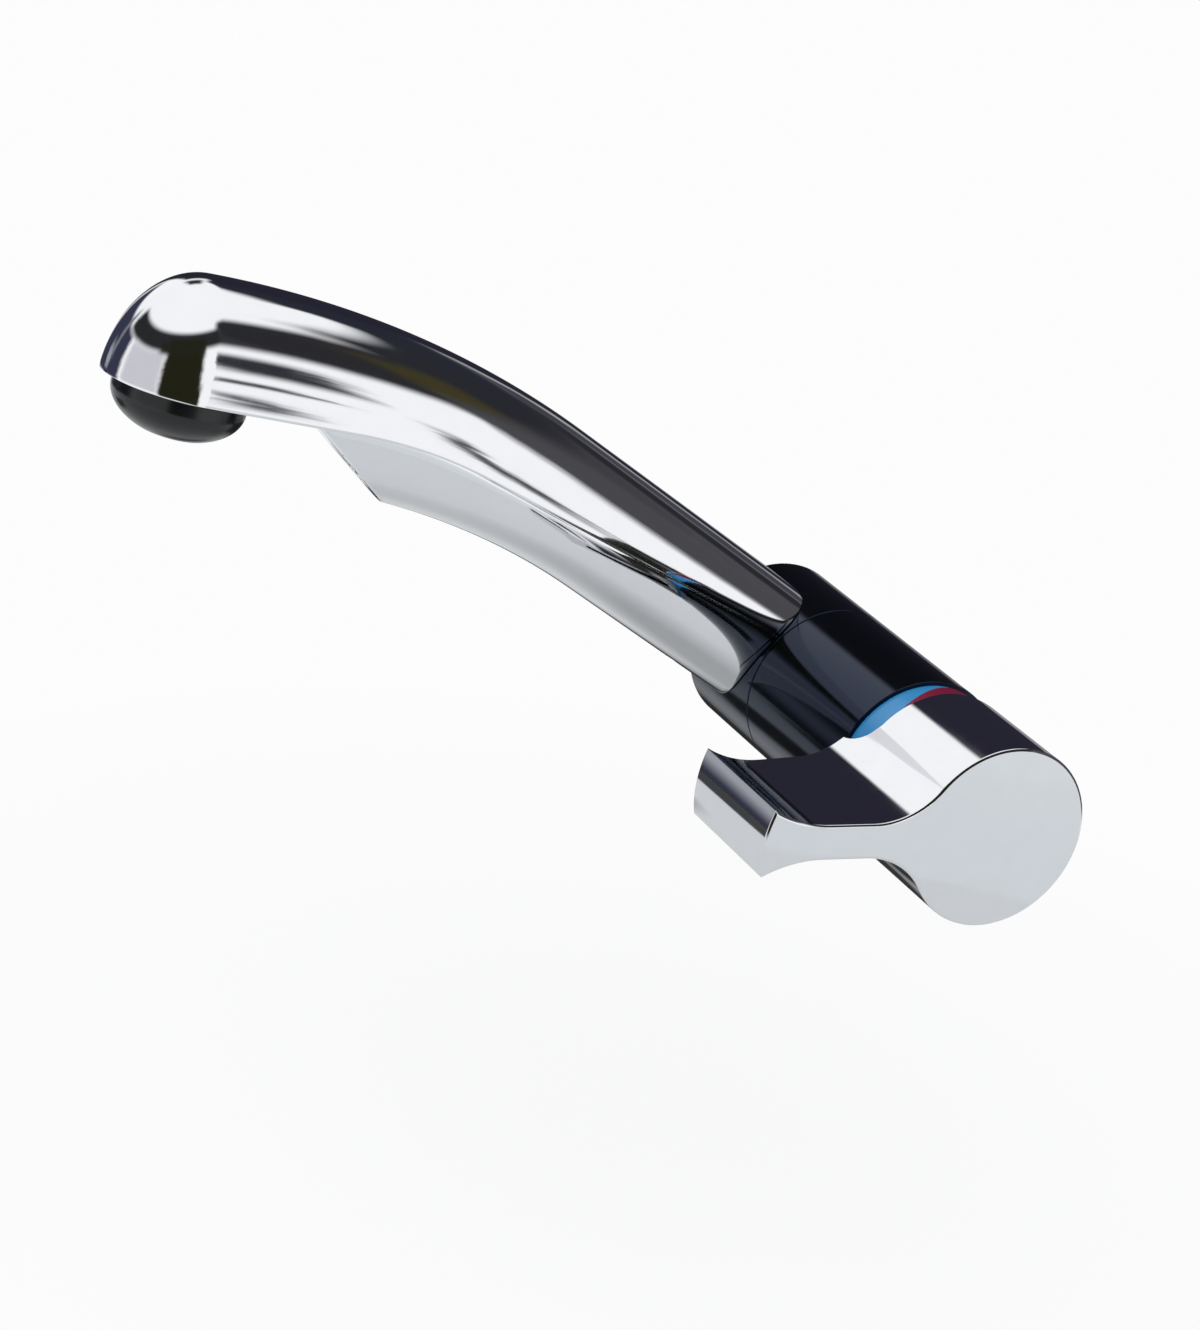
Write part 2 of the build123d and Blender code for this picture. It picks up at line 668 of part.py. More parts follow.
def cartridge_nut():
    thread_radius = CUP_RADIUS - NUT_THREAD_WALL - SEAT_FIT
    neck = GUIDE_NECK_DIAMETER / 2 + RUNNING_FIT + HOUSING_NECK_WALL + PART_GAP
    nut = tube(thread_radius, neck, CARTRIDGE_TOP, CUP_END)
    collar_radius = NUT_COLLAR_DIAMETER / 2
    nut += tube(collar_radius, collar_radius - NUT_COLLAR_WALL, CUP_END, CUP_END + NUT_COLLAR)
    return nut


def lever_guide():
    """Turns in the housing with the lever and carries the pin that the lever tilts on."""
    guide = rod(GUIDE_FLANGE_RADIUS, GUIDE_BACK, GUIDE_FLANGE_FRONT)
    guide += rod(GUIDE_NECK_DIAMETER / 2, GUIDE_BACK, GUIDE_FRONT)
    sweep_down = DISC_TRAVEL + BALL_DIAMETER / 2 + PART_GAP
    tilt = math.radians(TILT_RANGE)
    sweep_up = STEM_SQUARE / 2 / math.cos(tilt) + (GUIDE_FRONT - PIVOT) * math.tan(tilt) + PART_GAP
    slot = Pos((GUIDE_BACK + GUIDE_FRONT) / 2, (sweep_up - sweep_down) / 2, 0) * Box(
        GUIDE_FRONT - GUIDE_BACK, sweep_up + sweep_down, STEM_SQUARE + 2 * PART_GAP
    )
    guide -= slot
    return guide - pivot_hole(PIVOT_PIN_DIAMETER / 2)


def pivot_hole(radius, length=PIVOT_PIN_LENGTH):
    return Pos(PIVOT, 0, 0) * Cylinder(radius, length)


def pivot_pin():
    return pivot_hole(PIVOT_PIN_DIAMETER / 2)


def lever_stem():
    """A square stem that tilts on the pin, with a finger and ball that push the moving disc."""
    back = PIVOT - STEM_SQUARE * 0.8
    ball = PIVOT - BALL_ARM
    front = PIVOT + STEM_REACH
    stem = Pos((back + front) / 2, 0, 0) * Box(front - back, STEM_SQUARE, STEM_SQUARE)
    stem += rod(FINGER_DIAMETER / 2, ball, back)
    stem += Pos(ball, 0, 0) * Sphere(BALL_DIAMETER / 2)
    return stem - pivot_hole(PIVOT_PIN_DIAMETER / 2 + RUNNING_FIT)


def handle_outline():
    """The flat face's outline: a disc, a neck between two hollow arcs and a fishtail tip."""
    radius = HANDLE_DIAMETER / 2
    half = LEVER_THICKNESS / 2
    tip_half = LEVER_TIP_WIDTH / 2
    neck_centre_height = half + LEVER_NECK_RADIUS
    neck_centre = math.sqrt((radius + LEVER_NECK_RADIUS) ** 2 - neck_centre_height**2)
    share = radius / (radius + LEVER_NECK_RADIUS)
    on_disc = (neck_centre * share, neck_centre_height * share)
    on_neck = (neck_centre, half)
    tip = LEVER_REACH - LEVER_TIP_BULGE
    flare_run = math.sqrt(LEVER_TIP_FLARE**2 - (LEVER_TIP_FLARE - (tip_half - half)) ** 2)
    flare_start = (tip - flare_run, half)

    def mirrored(point):
        return (point[0], -point[1])

    disc = ThreePointArc(on_disc, (-radius, 0), mirrored(on_disc))
    lines = [
        disc,
        RadiusArc(on_disc, on_neck, -LEVER_NECK_RADIUS),
        Line(on_neck, flare_start),
        RadiusArc(flare_start, (tip, tip_half), -LEVER_TIP_FLARE),
        ThreePointArc((tip, tip_half), (LEVER_REACH, 0), (tip, -tip_half)),
        RadiusArc((tip, -tip_half), mirrored(flare_start), -LEVER_TIP_FLARE),
        Line(mirrored(flare_start), mirrored(on_neck)),
        RadiusArc(mirrored(on_neck), mirrored(on_disc), -LEVER_NECK_RADIUS),
    ]
    return make_face(lines)


def handle_back_cut():
    """What is cut from the handle's back in plan: a wave that uncovers the colour rings."""
    radius = HANDLE_DIAMETER / 2
    crest = SLEEVE_FRONT + HANDLE_CREST_GAP
    trough = crest + HANDLE_WAVE_DEPTH
    behind = trough + HANDLE_BACK_RELIEF
    tip = crest + LEVER_TIP_SETBACK
    wave_foot = (trough, HANDLE_WAVE_RUN - radius)
    wave_top = (crest, -radius)
    wave_middle = Vector(*wave_foot) * 0.5 + Vector(*wave_top) * 0.5
    wave_out = Vector(HANDLE_WAVE_RUN, -HANDLE_WAVE_DEPTH).normalized() * HANDLE_WAVE_BULGE
    far = SLEEVE_FRONT - BARREL_RADIUS
    corners = [wave_top, (tip, -LEVER_REACH - 1), (far, -LEVER_REACH - 1), (far, radius + 1)]
    corners += [(behind, radius + 1), (trough, 0), wave_foot]
    lines = [Line(a, b) for a, b in zip(corners, corners[1:])]
    lines.append(ThreePointArc(wave_foot, wave_middle + wave_out, wave_top))
    return extrude(make_face(lines), BARREL_RADIUS * 2, both=True)


def handle():
    outline = handle_outline()
    depth = HANDLE_FACE_REACH
    body = extrude(side_plane(HANDLE_FACE) * outline, depth)
    inner = HANDLE_DIAMETER / 2 - HANDLE_SKIRT_WALL
    floor = HANDLE_FACE - HANDLE_FACE_THICKNESS
    body -= rod(inner, SLEEVE_FRONT - 1, floor)
    boss_start = PIVOT + HANDLE_BOSS_RISE
    body += rod(HANDLE_BOSS_DIAMETER / 2, boss_start, floor + 1)
    socket_end = PIVOT + STEM_REACH + PART_GAP
    side = STEM_SQUARE + 2 * SEAT_FIT
    body -= Pos((boss_start + socket_end) / 2, 0, 0) * Box(socket_end - boss_start, side, side)
    pocket_start = HANDLE_DIAMETER / 2 + LEVER_POCKET_WALL
    pocket_end = LEVER_REACH - 3 * LEVER_POCKET_WALL
    pocket_thickness = LEVER_THICKNESS - 2 * LEVER_POCKET_WALL
    pocket = Box(
        LEVER_POCKET_DEPTH + LEVER_TIP_SETBACK,
        pocket_end - pocket_start,
        pocket_thickness,
        align=(Align.MIN, Align.CENTER, Align.CENTER),
    )
    body -= Pos(SLEEVE_FRONT, -(pocket_start + pocket_end) / 2, 0) * pocket
    body -= handle_back_cut()
    grub_x = boss_start + GRUB_INSET
    down = Plane(origin=(grub_x, 0, 0), z_dir=(0, 0, -1))
    body -= stud(down, GRUB_DIAMETER / 2, HANDLE_BOSS_DIAMETER / 2 + 1)
    beyond_boss = down * Pos(0, 0, HANDLE_BOSS_DIAMETER / 2 + 1)
    return body - stud(beyond_boss, PLUG_DIAMETER / 2 + SEAT_FIT, BARREL_DIAMETER)


def handle_grub_screw():
    boss_start = PIVOT + HANDLE_BOSS_RISE
    start = STEM_SQUARE / 2
    down = Plane(origin=(boss_start + GRUB_INSET, 0, -start), z_dir=(0, 0, -1))
    screw = stud(down, GRUB_DIAMETER / 2, GRUB_LENGTH)
    hexagon = RegularPolygon(GRUB_DIAMETER / 4, 6)
    socket = extrude(down * Pos(0, 0, GRUB_LENGTH / 2) * hexagon, GRUB_LENGTH / 2)
    return screw - socket


def handle_plug():
    boss_start = PIVOT + HANDLE_BOSS_RISE
    outer = HANDLE_DIAMETER / 2 - SEAT_FIT
    up = Plane(origin=(boss_start + GRUB_INSET, 0, -outer), z_dir=(0, 0, 1))
    return stud(up, PLUG_DIAMETER / 2, PLUG_LENGTH)


def swivel_hub():
    """Turns on the spindle with the spout: a black drum with a hollow neck for the spout."""
    hub = rod(BARREL_RADIUS, HUB_BACK, HUB_FRONT)
    hub += spout_rod(NECK_DIAMETER / 2, SPINDLE_RADIUS, NECK_REACH)
    hub -= rod(SPINDLE_RADIUS + RUNNING_FIT, HUB_BACK - 1, HUB_FRONT + 1)
    hub -= rod(GLIDE_DIAMETER / 2 + RUNNING_FIT, FLANGE_FRONT, FLANGE_FRONT + GLIDE_THICKNESS)
    hub -= rod(GLIDE_DIAMETER / 2 + RUNNING_FIT, SLEEVE_BACK - GLIDE_THICKNESS, SLEEVE_BACK)
    half = GALLERY_WIDTH / 2
    hub -= tube(GALLERY_DIAMETER / 2, SPINDLE_RADIUS, HUB_MIDDLE - half, HUB_MIDDLE + half)
    hub -= spout_rod(TUBE_DIAMETER / 2 + SEAT_FIT, SPINDLE_RADIUS, NECK_REACH)
    groove = tube_seal_radius() + TUBE_SEAL_SECTION / 2 + SEAT_FIT
    half_groove = TUBE_SEAL_SECTION / 2 + SEAT_FIT
    hub -= spout_rod(groove, TUBE_SEAL_REACH - half_groove, TUBE_SEAL_REACH + half_groove)
    hub -= stud(spout_grub_place() * Pos(0, 0, -GRUB_LENGTH), GRUB_DIAMETER / 2, 2 * GRUB_LENGTH)
    return hub - stop_slot()


def stop_slot():
    """An arc slot in the hub's front face, as long as the swivel's range and the pin."""
    half_width = STOP_PIN_DIAMETER / 2 + SEAT_FIT * 3
    depth = STOP_PIN_REACH + PART_GAP
    middle = HUB_FRONT - depth / 2
    strip = Plane.XY * Pos(middle, -STOP_PIN_RADIUS) * Rectangle(depth, 2 * half_width)
    arc = revolve(strip, Axis.X, 2 * SWIVEL_RANGE)
    slot = turned(stop_pin_angle() + SWIVEL_RANGE, arc)
    for side in (1, -1):
        end = rod(half_width, HUB_FRONT - depth, HUB_FRONT, y=-STOP_PIN_RADIUS)
        slot += turned(stop_pin_angle() + side * SWIVEL_RANGE, end)
    return slot


def spout_grub_place():
    """On the neck's underside, square to the spout's root and pointing out."""
    angle = math.radians(SPOUT_ANGLE)
    forward, height = along_spout(SPOUT_GRUB_REACH)
    out = Vector(0, -math.sin(angle), -math.cos(angle))
    origin = side_point(SPOUT_X, forward, height) + out * (NECK_DIAMETER / 2)
    return Plane(origin=origin, x_dir=(1, 0, 0), z_dir=out)


def spout_grub_screw():
    length = GRUB_LENGTH + SPOUT_HALF_DEPTH - NECK_DIAMETER / 2 - SPOUT_WALL / 2
    screw = Cylinder(GRUB_DIAMETER / 2 - SEAT_FIT, length)
    drop = NECK_DIAMETER / 2 - TUBE_DIAMETER / 2 - SEAT_FIT
    hexagon = RegularPolygon(GRUB_DIAMETER / 4, 6)
    place = spout_grub_place() * Pos(0, 0, length / 2 - drop)
    socket = extrude(place * Pos(0, 0, length / 2 - GRUB_LENGTH / 2) * hexagon, GRUB_LENGTH / 2)
    return place * screw - socket


def tube_seal_radius():
    return TUBE_DIAMETER / 2 + SEAT_FIT + TUBE_SEAL_SECTION / 2


def tube_seal():
    angle = math.radians(SPOUT_ANGLE)
    place = Plane(
        origin=side_point(SPOUT_X, *along_spout(TUBE_SEAL_REACH)),
        x_dir=(1, 0, 0),
        z_dir=(0, -math.cos(angle), math.sin(angle)),
    )
    return place * Torus(tube_seal_radius(), TUBE_SEAL_SECTION / 2)


def over_rim(rise):
    """A point on the outlet's axis in the side view, by its height over the rim's plane."""
    heading = lip_heading(OUTLET_REACH)
    forward = OUTLET_REACH - rise * math.sin(heading)
    return forward, lip_height(OUTLET_REACH) + rise * math.cos(heading)


def tube_route():
    """From the hub's gallery along the root, through the shell and down into the outlet socket."""
    start = along_spout(GALLERY_DIAMETER / 2)
    root = along_spout(TUBE_ROOT_END)
    ramp = TUBE_RAMP_SHARE * OUTLET_REACH
    shoulder = OUTLET_REACH - TUBE_SHOULDER_SETBACK
    return [
        start,
        root,
        (ramp, lip_height(ramp) + TUBE_RAMP_RISE),
        (shoulder, lip_height(shoulder) + TUBE_SHOULDER_RISE),
        over_rim(TUBE_DROP_RISE),
        over_rim(TUBE_END_RISE),
    ]


def water_tube():
    points = [side_point(SPOUT_X, *point) for point in tube_route()]
    radii = [TUBE_BEND_RADIUS, TUBE_BEND_RADIUS, TUBE_BEND_RADIUS, TUBE_DROP_RADIUS]
    path = FilletPolyline(*points, radius=radii)
    plane = Plane(origin=points[0], x_dir=(1, 0, 0), z_dir=points[1] - points[0])
    ring = Circle(TUBE_DIAMETER / 2) - Circle(TUBE_DIAMETER / 2 - TUBE_WALL)
    return sweep(plane * ring, path=path)


def spout_shell():
    body = shell_body() - shell_body(SPOUT_WALL, SPOUT_WALL, 4 * SPOUT_WALL)
    nose = shell_nose() - shell_nose(SPOUT_WALL + NOSE_EXTRA_WALL, SPOUT_WALL, 180)
    return body + nose - drum_clearance()


def drum_clearance():
    """The hub's drum and a gap round it, longer than the spout is wide."""
    return rod(BARREL_RADIUS + SWIVEL_GAP, HUB_BACK - BARREL_RADIUS, HUB_FRONT + BARREL_RADIUS)


def post_place():
    """Under the keel, square to the lip, where the screw goes up into the underplate."""
    forward = KEEL_END - KEEL_SCREW_SETBACK
    return section_plane(forward), forward


def keel_post_depth():
    plane, forward = post_place()
    return reach_to(keel_height, forward, lip_height(forward), -1)


def up_from(plane, height, radius, length):
    """A cylinder in a section plane, along its up direction."""
    base = Plane(origin=plane.from_local_coords((0, height, 0)), x_dir=(1, 0, 0), z_dir=plane.y_dir)
    return stud(base, radius, length)


def spout_keel():
    keel = keel_form() - keel_cut(0.0)
    keel -= keel_form(SPOUT_WALL, SPOUT_WALL) - keel_cut(2 * SPOUT_WALL)
    plane, forward = post_place()
    depth = keel_post_depth()
    post = up_from(plane, -depth, POST_DIAMETER / 2, depth - COVER_GAP)
    keel += (post & keel_form()) - keel_cut(0.0)
    keel -= up_from(plane, -depth, KEEL_SCREW_HEAD / 2 + SEAT_FIT, depth - KEEL_SCREW_SEAT)
    keel -= up_from(plane, -KEEL_SCREW_SEAT, KEEL_SCREW_DIAMETER / 2 + SEAT_FIT, 2 * KEEL_SCREW_SEAT)
    keel -= stud(spout_grub_place(), GRUB_DIAMETER / 2 + SEAT_FIT, SPOUT_HALF_DEPTH)
    return keel - drum_clearance()


def keel_screw():
    plane, forward = post_place()
    head_end = KEEL_SCREW_SEAT + KEEL_SCREW_HEAD_HEIGHT
    screw = up_from(plane, -head_end, KEEL_SCREW_HEAD / 2, KEEL_SCREW_HEAD_HEIGHT)
    return screw + up_from(plane, -KEEL_SCREW_SEAT, KEEL_SCREW_DIAMETER / 2, KEEL_SCREW_SEAT + KEEL_SCREW_BITE)


def spout_underplate():
    """Closes the shell's underside between the keel and the outlet, and takes the keel's screw."""
    side = NOSE_HALF_WIDTH - SPOUT_WALL - UNDERPLATE_CLEARANCE
    back = OUTLET_REACH - KEEL_END + UNDERPLATE_TONGUE
    tongue = side - UNDERPLATE_TAPER
    length = side + NOSE_LENGTH - NOSE_HALF_WIDTH
    front = EllipticalCenterArc((0, 0), side, length, start_angle=180, arc_size=180)
    corners = [front @ 1, Vector(tongue, back), Vector(-tongue, back), front @ 0]
    outline = make_face([front] + [Line(a, b) for a, b in zip(corners, corners[1:])])
    plate = nose_plane() * Pos(0, 0, UNDERPLATE_INSET) * extrude(outline, UNDERPLATE_THICKNESS)
    plate -= outlet_rod(SOCKET_DIAMETER / 2 + SEAT_FIT, -SOCKET_DROP, SOCKET_HEIGHT)
    plane, forward = post_place()
    plate += up_from(plane, COVER_GAP / 2, POST_DIAMETER / 2, KEEL_SCREW_BITE + COVER_GAP * 4)
    return plate - up_from(plane, 0, KEEL_SCREW_DIAMETER / 2, KEEL_SCREW_BITE)


def outlet_rod(radius, low, high):
    """A cylinder on the outlet's axis, by heights over the rim's plane."""
    return stud(nose_plane() * Pos(0, 0, low), radius, high - low)


def outlet_socket():
    """Sits on the underplate, takes the water tube above and the dome's thread below."""
    plate_top = UNDERPLATE_INSET + UNDERPLATE_THICKNESS
    socket = outlet_rod(SOCKET_DIAMETER / 2, -SOCKET_DROP, plate_top + SOCKET_FLANGE)
    socket += outlet_rod(SOCKET_FLANGE_DIAMETER / 2, plate_top, plate_top + SOCKET_FLANGE)
    socket += outlet_rod(TUBE_DIAMETER / 2 + TUBE_WALL + SEAT_FIT, plate_top, SOCKET_HEIGHT)
    socket -= outlet_rod(TUBE_DIAMETER / 2 + SEAT_FIT, plate_top, SOCKET_HEIGHT)
    socket -= outlet_rod(TUBE_DIAMETER / 2 - TUBE_WALL, 0, SOCKET_HEIGHT)
    return socket - outlet_rod(SOCKET_DIAMETER / 2 - TUBE_WALL, -SOCKET_DROP, 0)


def dome_solid(inset):
    skirt = outlet_rod(DOME_DIAMETER / 2 - inset, -DOME_SKIRT, -COVER_GAP - inset)
    cap = Sphere(1.0) & Pos(0, 0, -1) * Box(2, 2, 2)
    cap = scale(cap, by=(DOME_DIAMETER / 2 - inset, DOME_DIAMETER / 2 - inset, DOME_DEPTH - inset))
    return skirt + nose_plane() * Pos(0, 0, -DOME_SKIRT) * cap


def outlet_dome():
    """Black dome: a thick rounded cap with a threaded collar for the socket and a round mouth."""
    low = -DOME_SKIRT - DOME_DEPTH
    dome = dome_solid(0.0) - dome_solid(DOME_WALL)
    collar = SOCKET_DIAMETER / 2 + SEAT_FIT
    mouth = outlet_rod(DOME_OPENING / 2 + DOME_WALL, low, -SOCKET_DROP - OUTLET_SEAL_SECTION)
    dome += mouth & dome_solid(0.0)
    dome -= outlet_rod(collar, -SOCKET_DROP - OUTLET_SEAL_SECTION, 0)
    return dome - outlet_rod(DOME_OPENING / 2, low - 1, 0)


def outlet_seal():
    place = nose_plane() * Pos(0, 0, -SOCKET_DROP - OUTLET_SEAL_SECTION / 2)
    return place * Torus(outlet_seal_radius(), OUTLET_SEAL_SECTION / 2 - SEAT_FIT / 2)


def outlet_seal_radius():
    return SOCKET_DIAMETER / 2 - OUTLET_SEAL_SECTION / 2 - SEAT_FIT


def insert_top():
    return -SOCKET_DROP - OUTLET_SEAL_SECTION


def hole_grid(radius, hole, pitch):
    """Places of a hexagonal grid of holes that stay inside a radius."""
    rows = int(radius / (pitch * math.sqrt(3) / 2)) + 1
    places = []
    for row in range(-rows, rows + 1):
        shift = pitch / 2 if row % 2 else 0.0
        for column in range(-rows, rows + 1):
            x, y = column * pitch + shift, row * pitch * math.sqrt(3) / 2
            if math.hypot(x, y) + hole / 2 < radius:
                places.append((x, y))
    return places


def aerator_insert():
    radius = DOME_OPENING / 2 - SEAT_FIT
    top = insert_top() - MESH_THICKNESS
    insert = outlet_rod(radius, top - INSERT_HEIGHT, top)
    for x, y in hole_grid(radius - 0.8, INSERT_HOLE, INSERT_PITCH):
        hole = Cylinder(INSERT_HOLE / 2, INSERT_HEIGHT, align=(Align.CENTER, Align.CENTER, Align.MAX))
        insert -= nose_plane() * Pos(x, y, top) * hole
    return insert


def aerator_mesh():
    radius = DOME_OPENING / 2 - SEAT_FIT
    top = insert_top()
    mesh = outlet_rod(radius, top - MESH_THICKNESS, top)
    for x, y in hole_grid(radius - 0.8, INSERT_HOLE * 0.6, INSERT_PITCH * 0.65):
        hole = Cylinder(INSERT_HOLE * 0.3, MESH_THICKNESS, align=(Align.CENTER, Align.CENTER, Align.MAX))
        mesh -= nose_plane() * Pos(x, y, top) * hole
    return mesh


PARTS = {
    "valve_core": valve_core,
    "wall_flange": wall_flange,
    "panel_gasket": panel_gasket,
    "retaining_clip": retaining_clip,
    "clamp_washer_rubber": clamp_washer_rubber,
    "clamp_washer_steel": clamp_washer_steel,
    "shank_nut": shank_nut,
    "glide_washer_rear": lambda: glide_washer(FLANGE_FRONT),
    "glide_washer_front": lambda: glide_washer(SLEEVE_BACK - GLIDE_THICKNESS),
    "swivel_seals": swivel_seals,
    "stop_pin": stop_pin,
    "hot_tail": lambda: tail(1),
    "cold_tail": lambda: tail(-1),
    "tail_seals": tail_seals,
    "body_sleeve": body_sleeve,
    "sleeve_seals": sleeve_seals,
    "index_ring_blue": lambda: index_ring(-1),
    "index_ring_red": lambda: index_ring(1),
    "cartridge_base": cartridge_base,
    "port_seals": port_seals,
    "fixed_disc": fixed_disc,
    "moving_disc": moving_disc,
    "disc_carrier": disc_carrier,
    "cartridge_housing": cartridge_housing,
    "cartridge_nut": cartridge_nut,
    "lever_guide": lever_guide,
    "pivot_pin": pivot_pin,
    "lever_stem": lever_stem,
    "handle": handle,
    "handle_grub_screw": handle_grub_screw,
    "handle_plug": handle_plug,
    "swivel_hub": swivel_hub,
    "spout_grub_screw": spout_grub_screw,
    "tube_seal": tube_seal,
    "water_tube": water_tube,
    "spout_shell": spout_shell,
    "spout_keel": spout_keel,
    "keel_screw": keel_screw,
    "spout_underplate": spout_underplate,
    "outlet_socket": outlet_socket,
    "outlet_dome": outlet_dome,
    "outlet_seal": outlet_seal,
    "aerator_insert": aerator_insert,
    "aerator_mesh": aerator_mesh,
}


def write(name, make):
    shape = make()
    pieces = shape if isinstance(shape, list) else [shape]
    solids = [solid for piece in pieces for solid in piece.solids()]
    whole = Compound(children=solids) if len(solids) > 1 else solids[0]
    export_step(whole, os.path.join("parts", name + ".step"))


os.makedirs("parts", exist_ok=True)
for name, make in PARTS.items():
    write(name, make)
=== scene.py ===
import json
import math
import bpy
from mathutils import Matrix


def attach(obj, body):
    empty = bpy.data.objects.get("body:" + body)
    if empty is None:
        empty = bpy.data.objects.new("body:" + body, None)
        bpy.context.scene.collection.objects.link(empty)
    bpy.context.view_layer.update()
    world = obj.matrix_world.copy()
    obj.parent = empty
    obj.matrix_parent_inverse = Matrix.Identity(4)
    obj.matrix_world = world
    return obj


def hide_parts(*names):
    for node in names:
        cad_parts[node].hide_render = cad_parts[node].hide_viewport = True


bl_info = {
    "name": "Mixer Tap Maker",
    "version": (1, 0, 0),
    "blender": (4, 5, 0),
    "location": "3D View > Sidebar > Mixer Tap",
    "description": (
        "Dresses the packed mixer tap: chrome spout and handle, gloss black barrel, clamp and pipes"
    ),
    "category": "Add Mesh",
}

import bpy
from mathutils import Matrix, Vector

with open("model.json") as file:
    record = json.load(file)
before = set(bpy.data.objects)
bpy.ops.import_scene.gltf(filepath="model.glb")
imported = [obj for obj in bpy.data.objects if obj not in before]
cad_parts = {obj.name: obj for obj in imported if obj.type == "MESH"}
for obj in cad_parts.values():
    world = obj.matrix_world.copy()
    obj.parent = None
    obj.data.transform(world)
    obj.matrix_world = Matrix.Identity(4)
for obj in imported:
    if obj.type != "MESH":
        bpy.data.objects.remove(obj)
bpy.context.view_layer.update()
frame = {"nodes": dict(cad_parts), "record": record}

MM = 0.001

# The side view of the spout, in millimetres forward of the barrel's axis and above it, as in
# the part's source. A bend has the place where it starts and its radius.
SPOUT_X = 19.95
SPOUT_ANGLE = 30.0
SPOUT_HALF_DEPTH = 16.5
TOP_BEND = (75.0, 264.0)
LIP_ANGLE = 24.0
LIP_END_ANGLE = 8.0
LIP_ROOT_HEIGHT = 7.7
LIP_BEND = (105.0, 131.0)
KEEL_BEND = (71.4, 190.0)
OUTLET_REACH = 178.0
KEEL_END = 148.3
KEEL_END_ANGLE = 44.0
KEEL_TAPER_START = 55.0

# Where the searches along the spout start and end, in millimetres
ROOT_SEARCH = (7.5, 60.0)
KEEL_END_SEARCH = (80.0, 165.0)
WIDEST_REACH = 60.0

# The barrel, its shank and the ends of its black pieces along X, in millimetres
DRUM_RADIUS = 22.5
DRUM_GAP = 0.3
BARREL_RIMS = (4.0, 35.9, 36.2, 80.7)
RIM_REACH = 0.2
SURFACE_REACH = 0.1
SHANK_RADIUS = 11.0
SHANK_END = -46.0
THREAD_START = -9.0

# The keel's two screw holes and the post that the front screw goes into, in millimetres
GRUB_HOLE_REACH = 34.0
GRUB_HOLE_DROP = 16.0
GRUB_HOLE_RADIUS = 2.05
GRUB_HOLE_DEPTH = 10.0
KEEL_SCREW_SETBACK = 17.0
KEEL_SCREW_SEAT = 6.5
SCREW_HEAD_RADIUS = 2.75
SCREW_BORE_RADIUS = 1.55
SCREW_BORE_DEPTH = 18.0
KEEL_POST_RADIUS = 4.2
KEEL_POST_DROP = 7.0
KEEL_POST_DEPTH = 13.0

# The handle's chamfer in degrees, the least X of a normal that looks forward, and the grub
# screw's hole under the handle in millimetres
FACE_CHAMFER_ANGLE = 30.0
LOOKS_FORWARD = 0.99
HANDLE_HOLE_BELOW = -20.0
HANDLE_HOLE_HALF_WIDTH = 3.0

# Lengths in metres that count as none
SAME_PLANE = 1e-6
SAME_POINT = 2e-6
SAME_POLE = 5e-6

# Angles in degrees: how far faces may turn and still be one flat face, and from where an edge
# is sharp on the CAD's pieces, on the handle, on the casting and on the core
FLAT_ANGLE = 0.3
SHARP_ANGLE = 32.0
HANDLE_SHARP_ANGLE = 26.0
CASTING_SHARP_ANGLE = 40.0
CORE_SHARP_ANGLE = 30.0


def millimetres(name, value, text):
    """A length that a user can change, kept in metres and given in millimetres."""
    return bpy.props.FloatProperty(
        name=name,
        description=text,
        default=value * MM,
        min=0.0,
        precision=5,
        subtype="DISTANCE",
        unit="LENGTH",
    )


def linear(code):
    """A colour written as sRGB hex, as the linear values that Blender's nodes take."""
    channels = [int(code[i : i + 2], 16) / 255 for i in (1, 3, 5)]
    return [c / 12.92 if c <= 0.04045 else ((c + 0.055) / 1.055) ** 2.4 for c in channels]


def colour(name, code, text):
    return bpy.props.FloatVectorProperty(
        name=name, description=text, default=linear(code), min=0.0, max=1.0, size=3, subtype="COLOR"
    )


class TapSizes(bpy.types.PropertyGroup):
    shell_half_width: millimetres("Spout half width", 15.0, "Half the spout's width at the barrel")
    nose_half_width: millimetres("Nose half width", 16.5, "Half the spout's width over the outlet")
    nose_length: millimetres("Nose length", 19.8, "How far the nose reaches past the outlet's axis")
    keel_end_half_width: millimetres("Keel end half width", 10.5, "Half the keel's width at its end")
    casting_wall: millimetres("Casting wall", 2.0, "Wall of the two halves of the spout")
    casting_edge: millimetres("Casting edge", 0.5, "Rounding of the spout's edges")
    cover_gap: millimetres("Cover gap", 0.3, "Gap between the shell's lip and the keel")
    handle_edge: millimetres("Handle edge", 0.15, "Rounding of the handle's edges")
    face_chamfer: millimetres("Face chamfer", 0.6, "Width of the chamfer round the handle's flat face")
    barrel_edge: millimetres("Barrel edge", 0.25, "Rounding of the black barrel's edges")
    small_edge: millimetres("Small edge", 0.12, "Rounding of rings, washers and screws")
    thread_pitch: millimetres("Thread pitch", 1.5, "Pitch of the shank's thread")
    thread_depth: millimetres("Thread depth", 0.8, "Depth of the shank's thread")


